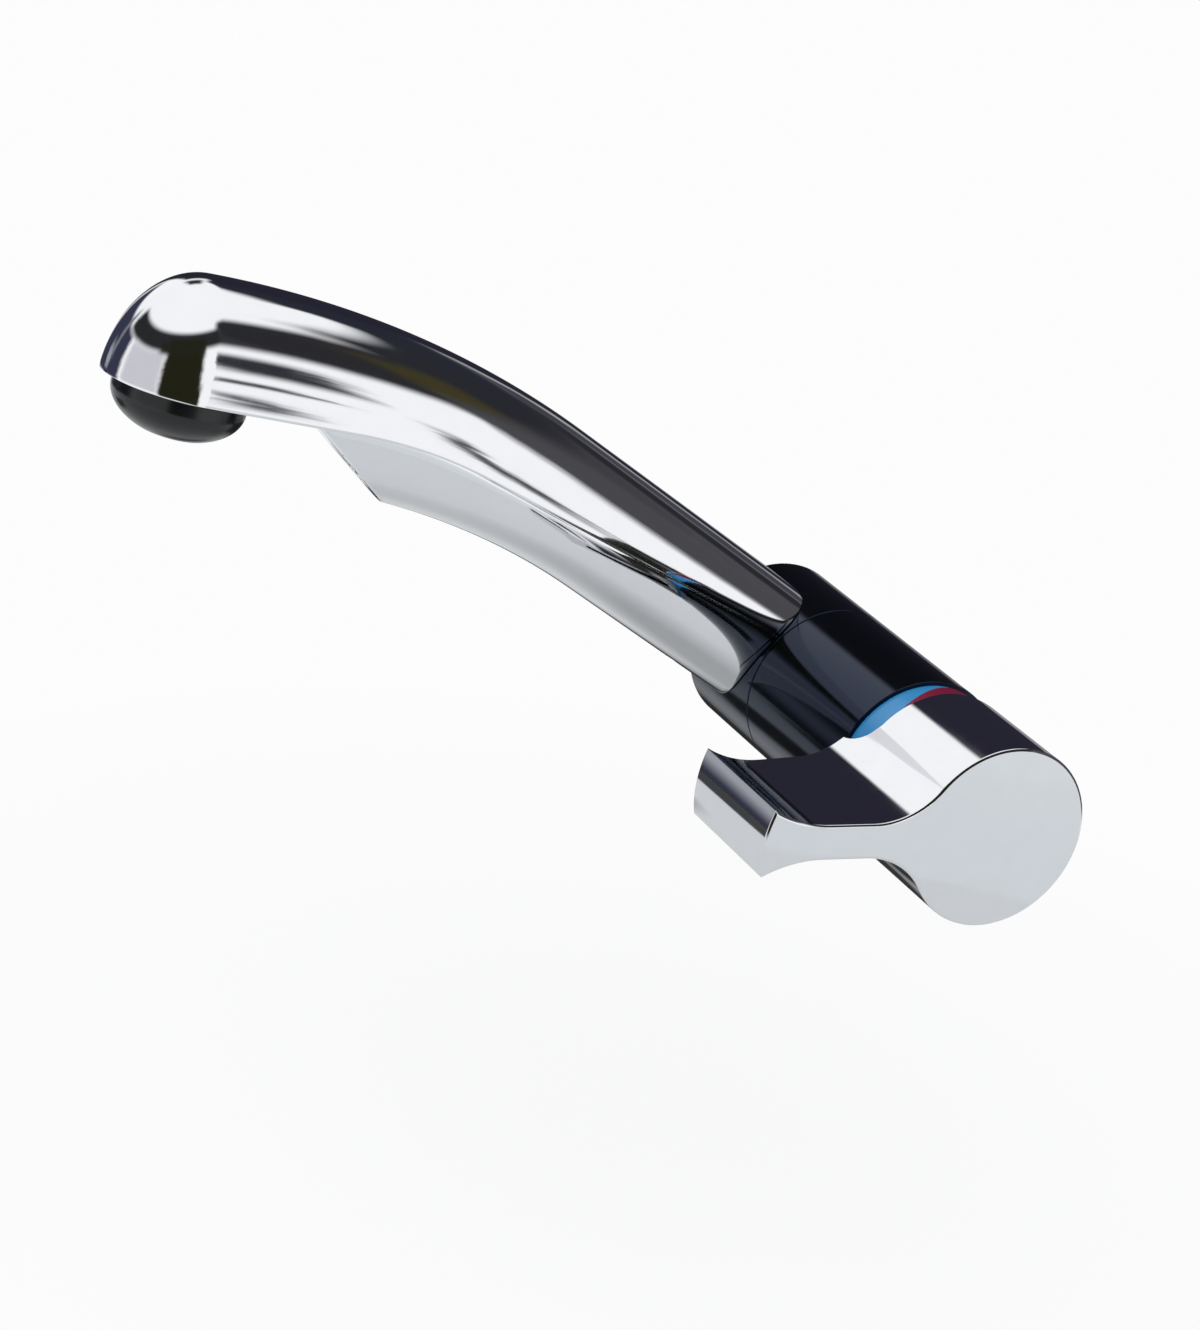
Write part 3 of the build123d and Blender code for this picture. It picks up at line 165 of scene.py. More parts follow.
class TapFinishes(bpy.types.PropertyGroup):
    chrome: colour("Chrome", "#E2E3E6", "Bright chrome plate")
    black: colour("Black", "#050706", "Gloss black lacquer")
    black_plastic: colour("Black plastic", "#0B0C0E", "Moulded black plastic")
    blue: colour("Cold blue", "#3A9CDC", "The cold ring")
    red: colour("Hot red", "#8E1C40", "The hot ring")
    white_plastic: colour("White plastic", "#DAD9D2", "Acetal of the cartridge")
    grey_plastic: colour("Grey plastic", "#8C9196", "Aerator insert")
    brass: colour("Brass", "#C9A65A", "Bare turned brass")
    copper: colour("Copper", "#C77A55", "Drawn copper pipe")
    steel: colour("Steel", "#B9BCC0", "Plated and stainless steel")
    rubber: colour("Rubber", "#17181A", "Nitrile rubber")
    ceramic: colour("Ceramic", "#E9E6DC", "Lapped alumina")
    floor: colour("Floor", "#EEF3F6", "Pale studio floor")


def sizes():
    return bpy.context.scene.tap_sizes


def finishes():
    return bpy.context.scene.tap_finishes


def in_mm(length):
    return length / MM


# Nodes and materials


def add(tree, kind, sockets=None, **settings):
    """Adds a node with its settings. sockets gives an input a value or another node's output."""
    made = tree.nodes.new(kind)
    for name, value in settings.items():
        setattr(made, name, value)
    for name, value in (sockets or {}).items():
        if isinstance(value, bpy.types.NodeSocket):
            tree.links.new(value, made.inputs[name])
        else:
            made.inputs[name].default_value = value
    return made


def new_material(name):
    made = bpy.data.materials.new(name)
    made.use_nodes = True
    made.node_tree.nodes.clear()
    return made, made.node_tree


def close(tree, shader):
    add(tree, "ShaderNodeOutputMaterial", {"Surface": shader.outputs[0]})


def place_on(tree):
    return add(tree, "ShaderNodeTexCoord").outputs["Object"]


def noise(tree, place, grain_mm, detail=3.0, roughness=0.5, stretch=(1, 1, 1)):
    """Noise whose blobs are about grain_mm across on the object, stretched per axis."""
    scaled = add(tree, "ShaderNodeMapping", {"Vector": place, "Scale": stretch}).outputs[0]
    grain = {"Vector": scaled, "Scale": 1 / (grain_mm * MM), "Detail": detail, "Roughness": roughness}
    return add(tree, "ShaderNodeTexNoise", grain).outputs["Fac"]


def maths(tree, operation, *values, **settings):
    """The result of a maths node; each value is a number or another node's output."""
    return add(tree, "ShaderNodeMath", dict(enumerate(values)), operation=operation, **settings).outputs[0]


def between(tree, value, low, high, start=0.0, end=1.0, **settings):
    """value brought from start...end to low...high."""
    sockets = {"Value": value, "From Min": start, "From Max": end, "To Min": low, "To Max": high}
    return add(tree, "ShaderNodeMapRange", sockets, **settings).outputs[0]


def tinted(tree, value, first, second):
    """A mix of two colours, each three numbers or another node's output."""
    mix = add(tree, "ShaderNodeMix", {"Factor": value}, data_type="RGBA")
    for index, shade in ((6, first), (7, second)):
        if isinstance(shade, bpy.types.NodeSocket):
            tree.links.new(shade, mix.inputs[index])
        else:
            mix.inputs[index].default_value = (*shade, 1)
    return mix.outputs[2]


def is_camera_ray(tree):
    return add(tree, "ShaderNodeLightPath").outputs["Is Camera Ray"]


def blended(tree, share, first, second):
    """The first shader where share is 0, and the second where it is 1."""
    return add(tree, "ShaderNodeMixShader", {0: share, 1: first.outputs[0], 2: second.outputs[0]})


def darker(rgb, share):
    return tuple(c * share for c in rgb)


def bump(tree, height, depth_mm):
    sockets = {"Height": height, "Distance": depth_mm * MM, "Strength": 1.0}
    return add(tree, "ShaderNodeBump", sockets).outputs[0]


def chrome_plated_brass():
    """Nickel-chrome plate on polished brass: a clean mirror with a faint cold tint. The casting
    under it was polished by hand, so long reflections waver a little."""
    made, tree = new_material("chrome_plated_brass")
    place = place_on(tree)
    wave = noise(tree, place, grain_mm=16.0, detail=1.0)
    haze = noise(tree, place, grain_mm=5.0, detail=4.0)
    sockets = {
        "Base Color": tinted(tree, haze, tuple(finishes().chrome), darker(finishes().chrome, 0.95)),
        "Metallic": 1.0,
        "Roughness": between(tree, haze, 0.03, 0.075),
        "Normal": bump(tree, wave, depth_mm=0.04),
    }
    close(tree, add(tree, "ShaderNodeBsdfPrincipled", sockets))
    return made


def gloss_black_lacquer():
    """Black lacquer baked on brass: deep black under a glassy coat with a blue sheen."""
    made, tree = new_material("gloss_black_lacquer")
    place = place_on(tree)
    haze = noise(tree, place, grain_mm=6.0, detail=4.0)
    peel = noise(tree, place, grain_mm=1.6, detail=2.0)
    sockets = {
        "Base Color": tinted(tree, haze, tuple(finishes().black), darker(finishes().black, 1.5)),
        "Roughness": between(tree, haze, 0.08, 0.14),
        "IOR": 1.48,
        "Specular Tint": (0.28, 0.46, 1.0, 1.0),
        "Normal": bump(tree, peel, depth_mm=0.002),
    }
    close(tree, add(tree, "ShaderNodeBsdfPrincipled", sockets))
    return made


def moulded(name, rgb, roughness, grain_mm=0.5, depth_mm=0.006, ior=1.49, bleed=0.0):
    """Injection-moulded plastic: even colour, a fine matt grain and a slightly uneven sheen.
    bleed is how much light goes into it."""
    made, tree = new_material(name)
    place = place_on(tree)
    cloud = noise(tree, place, grain_mm=7.0, detail=3.0)
    grain = noise(tree, place, grain_mm, detail=2.0)
    sockets = {
        "Base Color": tinted(tree, cloud, tuple(rgb), darker(rgb, 0.9)),
        "Roughness": between(tree, cloud, roughness - 0.04, roughness + 0.06),
        "IOR": ior,
        "Normal": bump(tree, grain, depth_mm),
    }
    if bleed:
        sockets["Subsurface Weight"] = bleed
        sockets["Subsurface Radius"] = (2 * MM, 2 * MM, 2 * MM)
    close(tree, add(tree, "ShaderNodeBsdfPrincipled", sockets))
    return made


def turned_metal(name, rgb, roughness, groove_mm=0.35, depth_mm=0.012, stain=0.8):
    """Metal turned on a lathe or drawn through a die: fine lines round the barrel's direction,
    and a slightly uneven tarnish that darkens it in places."""
    made, tree = new_material(name)
    place = place_on(tree)
    lines = noise(tree, place, groove_mm, detail=2.0, stretch=(1.0, 0.03, 0.03))
    cloud = noise(tree, place, grain_mm=9.0, detail=4.0, roughness=0.6)
    shade = tinted(tree, between(tree, cloud, 0, 1, 0.35, 0.7), tuple(rgb), darker(rgb, stain))
    sockets = {
        "Base Color": shade,
        "Metallic": 1.0,
        "Roughness": between(tree, cloud, roughness - 0.05, roughness + 0.12),
        "Normal": bump(tree, lines, depth_mm),
    }
    close(tree, add(tree, "ShaderNodeBsdfPrincipled", sockets))
    return made


def make_materials():
    """One material for each slot of the record, by the slot's name. The numbers after the colour
    are the roughness, the grain's or groove's size and depth in millimetres, and then the IOR
    of a moulded piece or the stain of a turned one."""
    look = finishes()
    return {
        "chrome": chrome_plated_brass(),
        "black_lacquer": gloss_black_lacquer(),
        # Glass-filled nylon and ABS: black with a low sheen
        "black_plastic": moulded("moulded_black_abs", look.black_plastic, 0.22),
        # Dyed ABS rings: clear colour, a smooth satin surface
        "blue_plastic": moulded("moulded_blue_abs", look.blue, 0.28, 0.9, 0.003, bleed=0.1),
        "red_plastic": moulded("moulded_red_abs", look.red, 0.28, 0.9, 0.003, bleed=0.1),
        # Acetal: milky, waxy white
        "white_plastic": moulded("moulded_white_acetal", look.white_plastic, 0.36, 0.6, 0.004, bleed=0.3),
        "grey_plastic": moulded("moulded_grey_acetal", look.grey_plastic, 0.4, 0.6, 0.004),
        "brass": turned_metal("turned_brass", look.brass, 0.24),
        "copper": turned_metal("drawn_copper", look.copper, 0.26, 0.8, 0.008, 0.7),
        "steel": turned_metal("zinc_plated_steel", look.steel, 0.3, 0.4, 0.01, 0.85),
        # Nitrile rubber: dull, with a fine powdery grain
        "rubber": moulded("nitrile_rubber", look.rubber, 0.62, 0.35, 0.01, 1.5),
        # Lapped alumina: off-white, flat and faintly glossy
        "ceramic": moulded("lapped_alumina", look.ceramic, 0.2, 0.25, 0.001, 1.76),
    }


def slot_of(node):
    for part in frame["record"]["subparts"]:
        if part["node"] == node:
            return part["material_slot"]
    raise ValueError(f"no slot for {node}")


def body_of(node):
    for body, members in frame["record"]["behaviour"]["bodies"].items():
        if node in members:
            return body
    raise ValueError(f"no body for {node}")


def materials_by_slot():
    """The materials, made once and found again by the slot that each is tagged with."""
    known = {m["tap_slot"]: m for m in bpy.data.materials if "tap_slot" in m}
    if not known:
        known = make_materials()
        for slot, made in known.items():
            made["tap_slot"] = slot
    return known


def paint(piece, slot):
    piece.data.materials.clear()
    piece.data.materials.append(materials_by_slot()[slot])
    for face in piece.data.polygons:
        face.material_index = 0


# Mesh work


def only(piece):
    """Selects just this object and makes it active."""
    if bpy.context.mode != "OBJECT":
        bpy.ops.object.mode_set(mode="OBJECT")
    bpy.ops.object.select_all(action="DESELECT")
    piece.select_set(True)
    bpy.context.view_layer.objects.active = piece


def apply_modifier(piece, kind, **settings):
    only(piece)
    made = piece.modifiers.new(kind.lower(), kind)
    for name, value in settings.items():
        setattr(made, name, value)
    bpy.ops.object.modifier_apply(modifier=made.name)


def cut_away(piece, cutter):
    """Takes the cutter's shape out of the piece, and the cutter out of the file."""
    apply_modifier(piece, "BOOLEAN", operation="DIFFERENCE", object=cutter, solver="EXACT")
    bpy.data.objects.remove(cutter)


def settle(piece):
    """Puts the object's place, turn and size into its mesh."""
    only(piece)
    bpy.ops.object.transform_apply(location=True, rotation=True, scale=True)


def smooth(piece, angle):
    only(piece)
    bpy.ops.object.shade_smooth_by_angle(angle=math.radians(angle))


def edit_whole(piece, *steps):
    """Runs mesh operators on the whole mesh, each given with its settings."""
    only(piece)
    bpy.ops.object.mode_set(mode="EDIT")
    bpy.ops.mesh.select_all(action="SELECT")
    for operator, settings in steps:
        operator(**settings)
    bpy.ops.object.mode_set(mode="OBJECT")


def hand_over(piece, name, node):
    """Names the piece, gives it its material and body, and lets it stand for the CAD node."""
    piece.name = name
    piece.data.name = name
    paint(piece, slot_of(node))
    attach(piece, body_of(node))
    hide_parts(node)


def copy_of(node):
    """A copy of a CAD node with its triangles joined and its flat faces whole."""
    piece = bpy.data.objects.new(node + "_copy", frame["nodes"][node].data.copy())
    bpy.context.scene.collection.objects.link(piece)
    only(piece)
    if piece.data.has_custom_normals:
        bpy.ops.mesh.customdata_custom_splitnormals_clear()
    edit_whole(
        piece,
        (bpy.ops.mesh.remove_doubles, {"threshold": SAME_POINT}),
        (bpy.ops.mesh.dissolve_limited, {"angle_limit": math.radians(FLAT_ANGLE)}),
    )
    return piece


def mark_edges(piece, angle, wanted):
    """Gives bevel weight to the sharp edges whose two ends are wanted, as told in millimetres."""
    only(piece)
    bpy.ops.object.mode_set(mode="EDIT")
    bpy.ops.mesh.select_mode(type="EDGE")
    bpy.ops.mesh.select_all(action="DESELECT")
    bpy.ops.mesh.edges_select_sharp(sharpness=math.radians(angle))
    bpy.ops.object.mode_set(mode="OBJECT")
    weights = piece.data.attributes.new("bevel_weight_edge", "FLOAT", "EDGE")
    points = piece.data.vertices
    for edge in piece.data.edges:
        if edge.select and all(wanted(points[i].co / MM) for i in edge.vertices):
            weights.data[edge.index].value = 1.0


def dress_copy(node, name, edge, segments=2, wanted=None):
    """Shows a CAD node by a copy with its edges rounded and its round faces smooth."""
    dress(copy_of(node), node, name, edge, segments, SHARP_ANGLE, wanted)


def dress(piece, node, name, edge, segments, angle, wanted):
    """Rounds the piece's sharp edges, or only the wanted ones, smooths it and hands it over."""
    if wanted:
        mark_edges(piece, angle, wanted)
    apply_modifier(
        piece,
        "BEVEL",
        width=edge,
        segments=segments,
        limit_method="WEIGHT" if wanted else "ANGLE",
        angle_limit=math.radians(angle),
        use_clamp_overlap=not wanted,
        harden_normals=False,
    )
    smooth(piece, angle)
    apply_modifier(piece, "WEIGHTED_NORMAL", keep_sharp=True)
    hand_over(piece, name, node)


# The spout's lines


def bent_line(forward, start, height, angle, radius, end_angle):
    """Height of a line that rises at angle to start and then bends down to end_angle on a radius."""
    slope = math.radians(angle)
    last = math.radians(end_angle)
    if forward <= start:
        return height + (forward - start) * math.tan(slope)
    turn_length = radius * (math.sin(slope) - math.sin(last))
    inside = min(forward - start, turn_length)
    heading = math.asin(math.sin(slope) - inside / radius)
    rise = radius * (math.cos(heading) - math.cos(slope))
    return height + rise + (forward - start - inside) * math.tan(last)


def root_edge(start, side):
    """Height of the root's top (side 1) or under edge (side -1) where its bend starts."""
    slope = math.radians(SPOUT_ANGLE)
    return start * math.tan(slope) + side * SPOUT_HALF_DEPTH / math.cos(slope)


def top_height(forward):
    start, radius = TOP_BEND
    return bent_line(forward, start, root_edge(start, 1), SPOUT_ANGLE, radius, 0.0)


def keel_height(forward):
    start, radius = KEEL_BEND
    return bent_line(forward, start, root_edge(start, -1), SPOUT_ANGLE, radius, 0.0)


def lip_height(forward):
    start, radius = LIP_BEND
    height = LIP_ROOT_HEIGHT + start * math.tan(math.radians(LIP_ANGLE))
    return bent_line(forward, start, height, LIP_ANGLE, radius, LIP_END_ANGLE)


def lip_heading(forward):
    """The lip's slope as an angle, taken over one millimetre."""
    return math.atan2(lip_height(forward + 0.5) - lip_height(forward - 0.5), 1.0)


def turning_point(is_past, span, halvings):
    """Two values of the span close together, one before and one after is_past turns true."""
    low, high = span
    for _ in range(halvings):
        middle = (low + high) / 2
        if is_past(middle):
            high = middle
        else:
            low = middle
    return low, high


def reach_to(curve, forward, side):
    """Distance from a lip point, square to the lip, to the top (side 1) or keel (side -1) line."""
    heading = lip_heading(forward)
    height = lip_height(forward)

    def is_past(reach):
        at_forward = forward - side * reach * math.sin(heading)
        at_height = height + side * reach * math.cos(heading)
        return side * (at_height - curve(at_forward)) > 0

    return turning_point(is_past, (0.0, WIDEST_REACH), 36)[0]


def eased(value, start, end):
    """0 before start, 1 after end and a smooth step between."""
    share = min(1.0, max(0.0, (value - start) / (end - start)))
    return share * share * (3 - 2 * share)


def lip_frame(forward):
    """The lip's point and its up direction, in millimetres."""
    heading = lip_heading(forward)
    up = Vector((0, math.sin(heading), math.cos(heading)))
    return Vector((SPOUT_X, -forward, lip_height(forward))), up


def widened(forward, first, last, start, end):
    """The first width before start, the last after end and a smooth step between."""
    return first + (last - first) * eased(forward, start, end)


def shell_point(forward, turn):
    """On the spout's upper half: turn runs from one lip over the top to the other."""
    first = in_mm(sizes().shell_half_width)
    last = in_mm(sizes().nose_half_width)
    half_width = widened(forward, first, last, DRUM_RADIUS, OUTLET_REACH)
    origin, up = lip_frame(forward)
    height = reach_to(top_height, forward, 1)
    return origin + Vector((half_width * math.cos(turn), 0, 0)) + up * (height * math.sin(turn))


def nose_point(dip, turn):
    """On the nose: dip runs from the last upright section down to the rim."""
    size = sizes()
    origin, up = lip_frame(OUTLET_REACH)
    heading = lip_heading(OUTLET_REACH)
    ahead = Vector((0, -math.cos(heading), math.sin(heading)))
    height = reach_to(top_height, OUTLET_REACH, 1)
    side = Vector((in_mm(size.nose_half_width) * math.cos(turn), 0, 0))
    rise = up * (height * math.sin(turn) * math.cos(dip))
    return origin + side + rise + ahead * (in_mm(size.nose_length) * math.sin(turn) * math.sin(dip))


def keel_point(forward, turn):
    """On the spout's lower half: turn runs from one lip under the keel to the other."""
    first = in_mm(sizes().shell_half_width)
    last = in_mm(sizes().keel_end_half_width)
    half_width = widened(forward, first, last, KEEL_TAPER_START, KEEL_END)
    origin, up = lip_frame(forward)
    gap = in_mm(sizes().cover_gap)
    depth = reach_to(keel_height, forward, -1) - gap
    side = Vector((half_width * math.cos(turn), 0, 0))
    return origin + side - up * (gap + depth * math.sin(turn))


def crossing(point, is_beyond, search):
    """Where in the search, as a forward distance, point(forward) comes to lie beyond."""
    return turning_point(lambda forward: is_beyond(point(forward)), search, 30)[1]


def outside_drum(point):
    return math.hypot(point.y, point.z) > DRUM_RADIUS + DRUM_GAP


def on_drum(point):
    """True on the barrel's outside, or farther out."""
    return math.hypot(point.y, point.z) > DRUM_RADIUS - SURFACE_REACH


def keel_end_plane():
    """A point of the plane that cuts the keel off, in millimetres, and its direction outwards."""
    slant = math.radians(KEEL_END_ANGLE)
    through = Vector((0, -KEEL_END, lip_height(KEEL_END)))
    return through, Vector((0, -math.sin(slant), -math.cos(slant)))


def past_keel_end(point):
    through, across = keel_end_plane()
    return (point - through).dot(across) > 0


def skin(rows, columns, point):
    """A grid primitive whose rows and columns are laid on a surface: point(u, v) in millimetres."""
    bpy.ops.object.select_all(action="DESELECT")
    bpy.ops.mesh.primitive_grid_add(x_subdivisions=rows, y_subdivisions=columns, size=2)
    piece = bpy.context.object
    for vertex in piece.data.vertices:
        u, v = (vertex.co.x + 1) / 2, (vertex.co.y + 1) / 2
        vertex.co = point(u, v) * MM
    return piece


def one_way(piece):
    edit_whole(piece, (bpy.ops.mesh.normals_make_consistent, {"inside": False}))


def close_poles(piece):
    """Joins the points that the rows share at a pole, and turns the faces one way."""
    edit_whole(piece, (bpy.ops.mesh.remove_doubles, {"threshold": SAME_POLE}))
    one_way(piece)


def outward(piece, forward):
    """Turns the faces over if they look at the lip's point this far forward, which lies inside."""
    inside, _ = lip_frame(forward)
    middle = piece.data.polygons[len(piece.data.polygons) // 2]
    if middle.normal.dot(middle.center - inside * MM) < 0:
        edit_whole(piece, (bpy.ops.mesh.flip_normals, {}))


def cast_wall(piece):
    """Gives the skin its wall, inwards."""
    apply_modifier(piece, "SOLIDIFY", thickness=sizes().casting_wall, offset=-1.0, use_even_offset=True)


def round_casting(piece):
    """Rounds the sharp edges of the casting and smooths it."""
    apply_modifier(
        piece,
        "BEVEL",
        width=sizes().casting_edge,
        segments=3,
        limit_method="ANGLE",
        angle_limit=math.radians(CASTING_SHARP_ANGLE),
    )
    smooth(piece, CASTING_SHARP_ANGLE)


class TAP_OT_spout_shell(bpy.types.Operator):
    """The chrome upper half of the spout with its hooked nose"""

    bl_idname = "tap.spout_shell"
    bl_label = "Spout Shell"

    body_rows = 96
    nose_rows = 30
    columns = 104
    # Rows this close to the nose's first row belong to it, as a share of the whole
    row_margin = 1e-6

    def execute(self, context):
        starts = {}
        nose_share = self.nose_rows / (self.body_rows + self.nose_rows)

        def point(u, v):
            turn = math.pi * v
            if u > 1 - nose_share - self.row_margin:
                return nose_point(math.pi / 2 * (u - 1 + nose_share) / nose_share, turn)
            if v not in starts:
                starts[v] = crossing(lambda f: shell_point(f, turn), outside_drum, ROOT_SEARCH)
            along = u / (1 - nose_share)
            return shell_point(starts[v] + (OUTLET_REACH - starts[v]) * along, turn)

        piece = skin(self.body_rows + self.nose_rows, self.columns, point)
        close_poles(piece)
        outward(piece, OUTLET_REACH / 2)
        cast_wall(piece)
        round_casting(piece)
        hand_over(piece, "chrome_spout_shell", "spout_shell")
        return {"FINISHED"}


class TAP_OT_spout_keel(bpy.types.Operator):
    """The chrome lower half of the spout with its slanting end and the holes for its two screws"""

    bl_idname = "tap.spout_keel"
    bl_label = "Spout Keel"

    rows = 84
    columns = 72
    pin_sides = 48

    def execute(self, context):
        spans = {}

        def point(u, v):
            turn = math.pi * v
            if v not in spans:
                first = crossing(lambda f: keel_point(f, turn), outside_drum, ROOT_SEARCH)
                last = crossing(lambda f: keel_point(f, turn), past_keel_end, KEEL_END_SEARCH)
                spans[v] = (first, last)
            first, last = spans[v]
            return keel_point(first + (last - first) * u, turn)

        piece = skin(self.rows, self.columns, point)
        close_poles(piece)
        self.close_end(piece)
        one_way(piece)
        outward(piece, KEEL_END / 2)
        cast_wall(piece)
        self.drill(piece)
        round_casting(piece)
        hand_over(piece, "chrome_spout_keel", "spout_keel")
        return {"FINISHED"}

    def close_end(self, piece):
        """Fills the slanting end, from lip to lip."""
        only(piece)
        through, across = keel_end_plane()
        for vertex in piece.data.vertices:
            vertex.select = abs((vertex.co - through * MM).dot(across)) < SAME_POINT
        for group in (piece.data.edges, piece.data.polygons):
            for item in group:
                item.select = False
        for edge in piece.data.edges:
            edge.select = all(piece.data.vertices[i].select for i in edge.vertices)
        bpy.ops.object.mode_set(mode="EDIT")
        bpy.ops.mesh.select_mode(type="VERT")
        bpy.ops.mesh.edge_face_add()
        bpy.ops.object.mode_set(mode="OBJECT")

    def drill(self, piece):
        """The hole for the spout's grub screw, and the post and bore for the keel's screw."""
        slope = math.radians(SPOUT_ANGLE)
        forward, height = GRUB_HOLE_REACH * math.cos(slope), GRUB_HOLE_REACH * math.sin(slope)
        down = Vector((0, -math.sin(slope), -math.cos(slope)))
        grub = Vector((SPOUT_X, -forward, height)) + down * GRUB_HOLE_DROP
        self.drill_one(piece, grub, down, GRUB_HOLE_RADIUS, GRUB_HOLE_DEPTH)
        origin, up = lip_frame(KEEL_END - KEEL_SCREW_SETBACK)
        head = origin - up * (KEEL_SCREW_SEAT + SCREW_BORE_DEPTH / 2)
        self.drill_one(piece, head, up, SCREW_HEAD_RADIUS, SCREW_BORE_DEPTH)
        post = self.pin(origin - up * KEEL_POST_DROP, up, KEEL_POST_RADIUS, KEEL_POST_DEPTH)
        through, across = keel_end_plane()
        cut = {"plane_co": through * MM, "plane_no": across, "clear_outer": True, "use_fill": True}
        edit_whole(post, (bpy.ops.mesh.bisect, cut))
        self.drill_one(post, head, up, SCREW_HEAD_RADIUS, SCREW_BORE_DEPTH)
        self.drill_one(post, origin, up, SCREW_BORE_RADIUS, SCREW_BORE_DEPTH)
        only(piece)
        post.select_set(True)
        bpy.ops.object.join()

    def pin(self, centre, along, radius, depth):
        """A cylinder in millimetres, with its middle and direction."""
        bpy.ops.object.select_all(action="DESELECT")
        bpy.ops.mesh.primitive_cylinder_add(vertices=self.pin_sides, radius=radius * MM, depth=depth * MM)
        made = bpy.context.object
        turn = along.to_track_quat("Z", "Y").to_matrix().to_4x4()
        made.matrix_world = Matrix.Translation(centre * MM) @ turn
        settle(made)
        return made

    def drill_one(self, piece, centre, along, radius, depth):
        cut_away(piece, self.pin(centre, along, radius, depth))


class TAP_OT_handle(bpy.types.Operator):
    """The chrome handle with its polished edges, and its plug"""

    bl_idname = "tap.handle"
    bl_label = "Handle"

    def execute(self, context):
        piece = copy_of("handle")
        self.chamfer_face(piece)
        edge = sizes().handle_edge
        dress(piece, "handle", "chrome_handle", edge, 3, HANDLE_SHARP_ANGLE, self.outer_rim)
        dress_copy("handle_plug", "handle_cap", sizes().small_edge)
        return {"FINISHED"}

    def chamfer_face(self, piece):
        """Cuts a shallow chamfer round the flat face, which shows as its dark outline."""
        front = max(vertex.co.x for vertex in piece.data.vertices)
        only(piece)
        for vertex in piece.data.vertices:
            vertex.select = False
        for edge in piece.data.edges:
            edge.select = False
        for face in piece.data.polygons:
            face.select = face.normal.x > LOOKS_FORWARD and abs(face.center.x - front) < SAME_PLANE
        bpy.ops.object.mode_set(mode="EDIT")
        bpy.ops.mesh.select_mode(type="FACE")
        bpy.ops.mesh.inset(thickness=sizes().face_chamfer)
        bpy.ops.object.mode_set(mode="OBJECT")
        drop = sizes().face_chamfer * math.tan(math.radians(FACE_CHAMFER_ANGLE))
        for vertex in piece.data.vertices:
            if not vertex.select and abs(vertex.co.x - front) < SAME_PLANE:
                vertex.co.x -= drop

    def outer_rim(self, point):
        """True on the handle's outline, not round the grub screw's hole or inside the bore."""
        at_hole = point.z < HANDLE_HOLE_BELOW and abs(point.y) < HANDLE_HOLE_HALF_WIDTH
        return on_drum(point) and not at_hole


class TAP_OT_barrel(bpy.types.Operator):
    """The gloss black hub and sleeve, and the two colour rings"""

    bl_idname = "tap.barrel"
    bl_label = "Barrel"

    def execute(self, context):
        dress_copy("swivel_hub", "black_hub", sizes().barrel_edge, 3, wanted=self.end_rim)
        dress_copy("body_sleeve", "black_sleeve", sizes().barrel_edge, 3, wanted=self.end_rim)
        dress_copy("index_ring_blue", "cold_ring", sizes().small_edge)
        dress_copy("index_ring_red", "hot_ring", sizes().small_edge)
        return {"FINISHED"}

    def end_rim(self, point):
        """True where the hub's or sleeve's outside meets one of its ends."""
        return on_drum(point) and min(abs(point.x - end) for end in BARREL_RIMS) < RIM_REACH


class TAP_OT_outlet(bpy.types.Operator):
    """The black dome, the plate before it and the aerator"""

    bl_idname = "tap.outlet"
    bl_label = "Outlet"

    def execute(self, context):
        dress_copy("outlet_dome", "black_dome", sizes().barrel_edge, 3)
        dress_copy("spout_underplate", "under_plate", sizes().small_edge)
        dress_copy("aerator_insert", "aerator_grid", sizes().small_edge)
        return {"FINISHED"}


class TAP_OT_clamp(bpy.types.Operator):
    """Flange, gasket, washers, nut and the two copper inlets behind the panel"""

    bl_idname = "tap.clamp"
    bl_label = "Panel Clamp"

    # The thread's cutter: faces in each turn, its half width as a share of the pitch, and how
    # far it stands out of the shank, in millimetres
    turn_faces = 40
    groove_share = 0.475
    groove_rise = 0.12

    def execute(self, context):
        edge = sizes().small_edge
        for node in ("wall_flange", "clamp_washer_steel", "shank_nut"):
            dress_copy(node, node + "_turned", edge)
        for node in ("panel_gasket", "clamp_washer_rubber"):
            dress_copy(node, node + "_cut", edge)
        for node in ("hot_tail", "cold_tail"):
            dress_copy(node, node + "_pipe", edge)
        self.threaded_core()
        return {"FINISHED"}

    def threaded_core(self):
        """The brass core with its thread cut into the shank by a coil of the groove's section."""
        core = copy_of("valve_core")
        cut_away(core, self.groove_coil())
        smooth(core, CORE_SHARP_ANGLE)
        hand_over(core, "brass_core", "valve_core")

    def groove_coil(self):
        """A closed coil with the groove's three-sided section, along the whole thread."""
        pitch = in_mm(sizes().thread_pitch)
        depth = in_mm(sizes().thread_depth)
        turns = (THREAD_START - SHANK_END + pitch) / pitch
        half, rise = self.groove_share * pitch, self.groove_rise
        section = ((0, -depth), (half, rise), (-half, rise), (0, -depth))

        def point(u, v):
            along, out = section[round(3 * v)]
            turn = 2 * math.pi * turns * u
            radius = SHANK_RADIUS + out
            x = THREAD_START - turns * pitch * u + along
            return Vector((x, radius * math.cos(turn), radius * math.sin(turn)))

        coil = skin(int(turns * self.turn_faces), 3, point)
        close_poles(coil)
        edit_whole(coil, (bpy.ops.mesh.fill_holes, {"sides": 0}))
        one_way(coil)
        return coil


class TAP_OT_inner_parts(bpy.types.Operator):
    """Materials for the parts that the others hide"""

    bl_idname = "tap.inner_parts"
    bl_label = "Inner Parts"

    def execute(self, context):
        for name, piece in frame["nodes"].items():
            if not piece.hide_render:
                paint(piece, slot_of(name))
        return {"FINISHED"}


# Studio


def within(tree, away, half, soft):
    """1 where away is well under half, 0 where it is well over, and soft round it."""
    return between(tree, away, 0.0, 1.0, half + soft, half - soft, interpolation_type="SMOOTHSTEP")


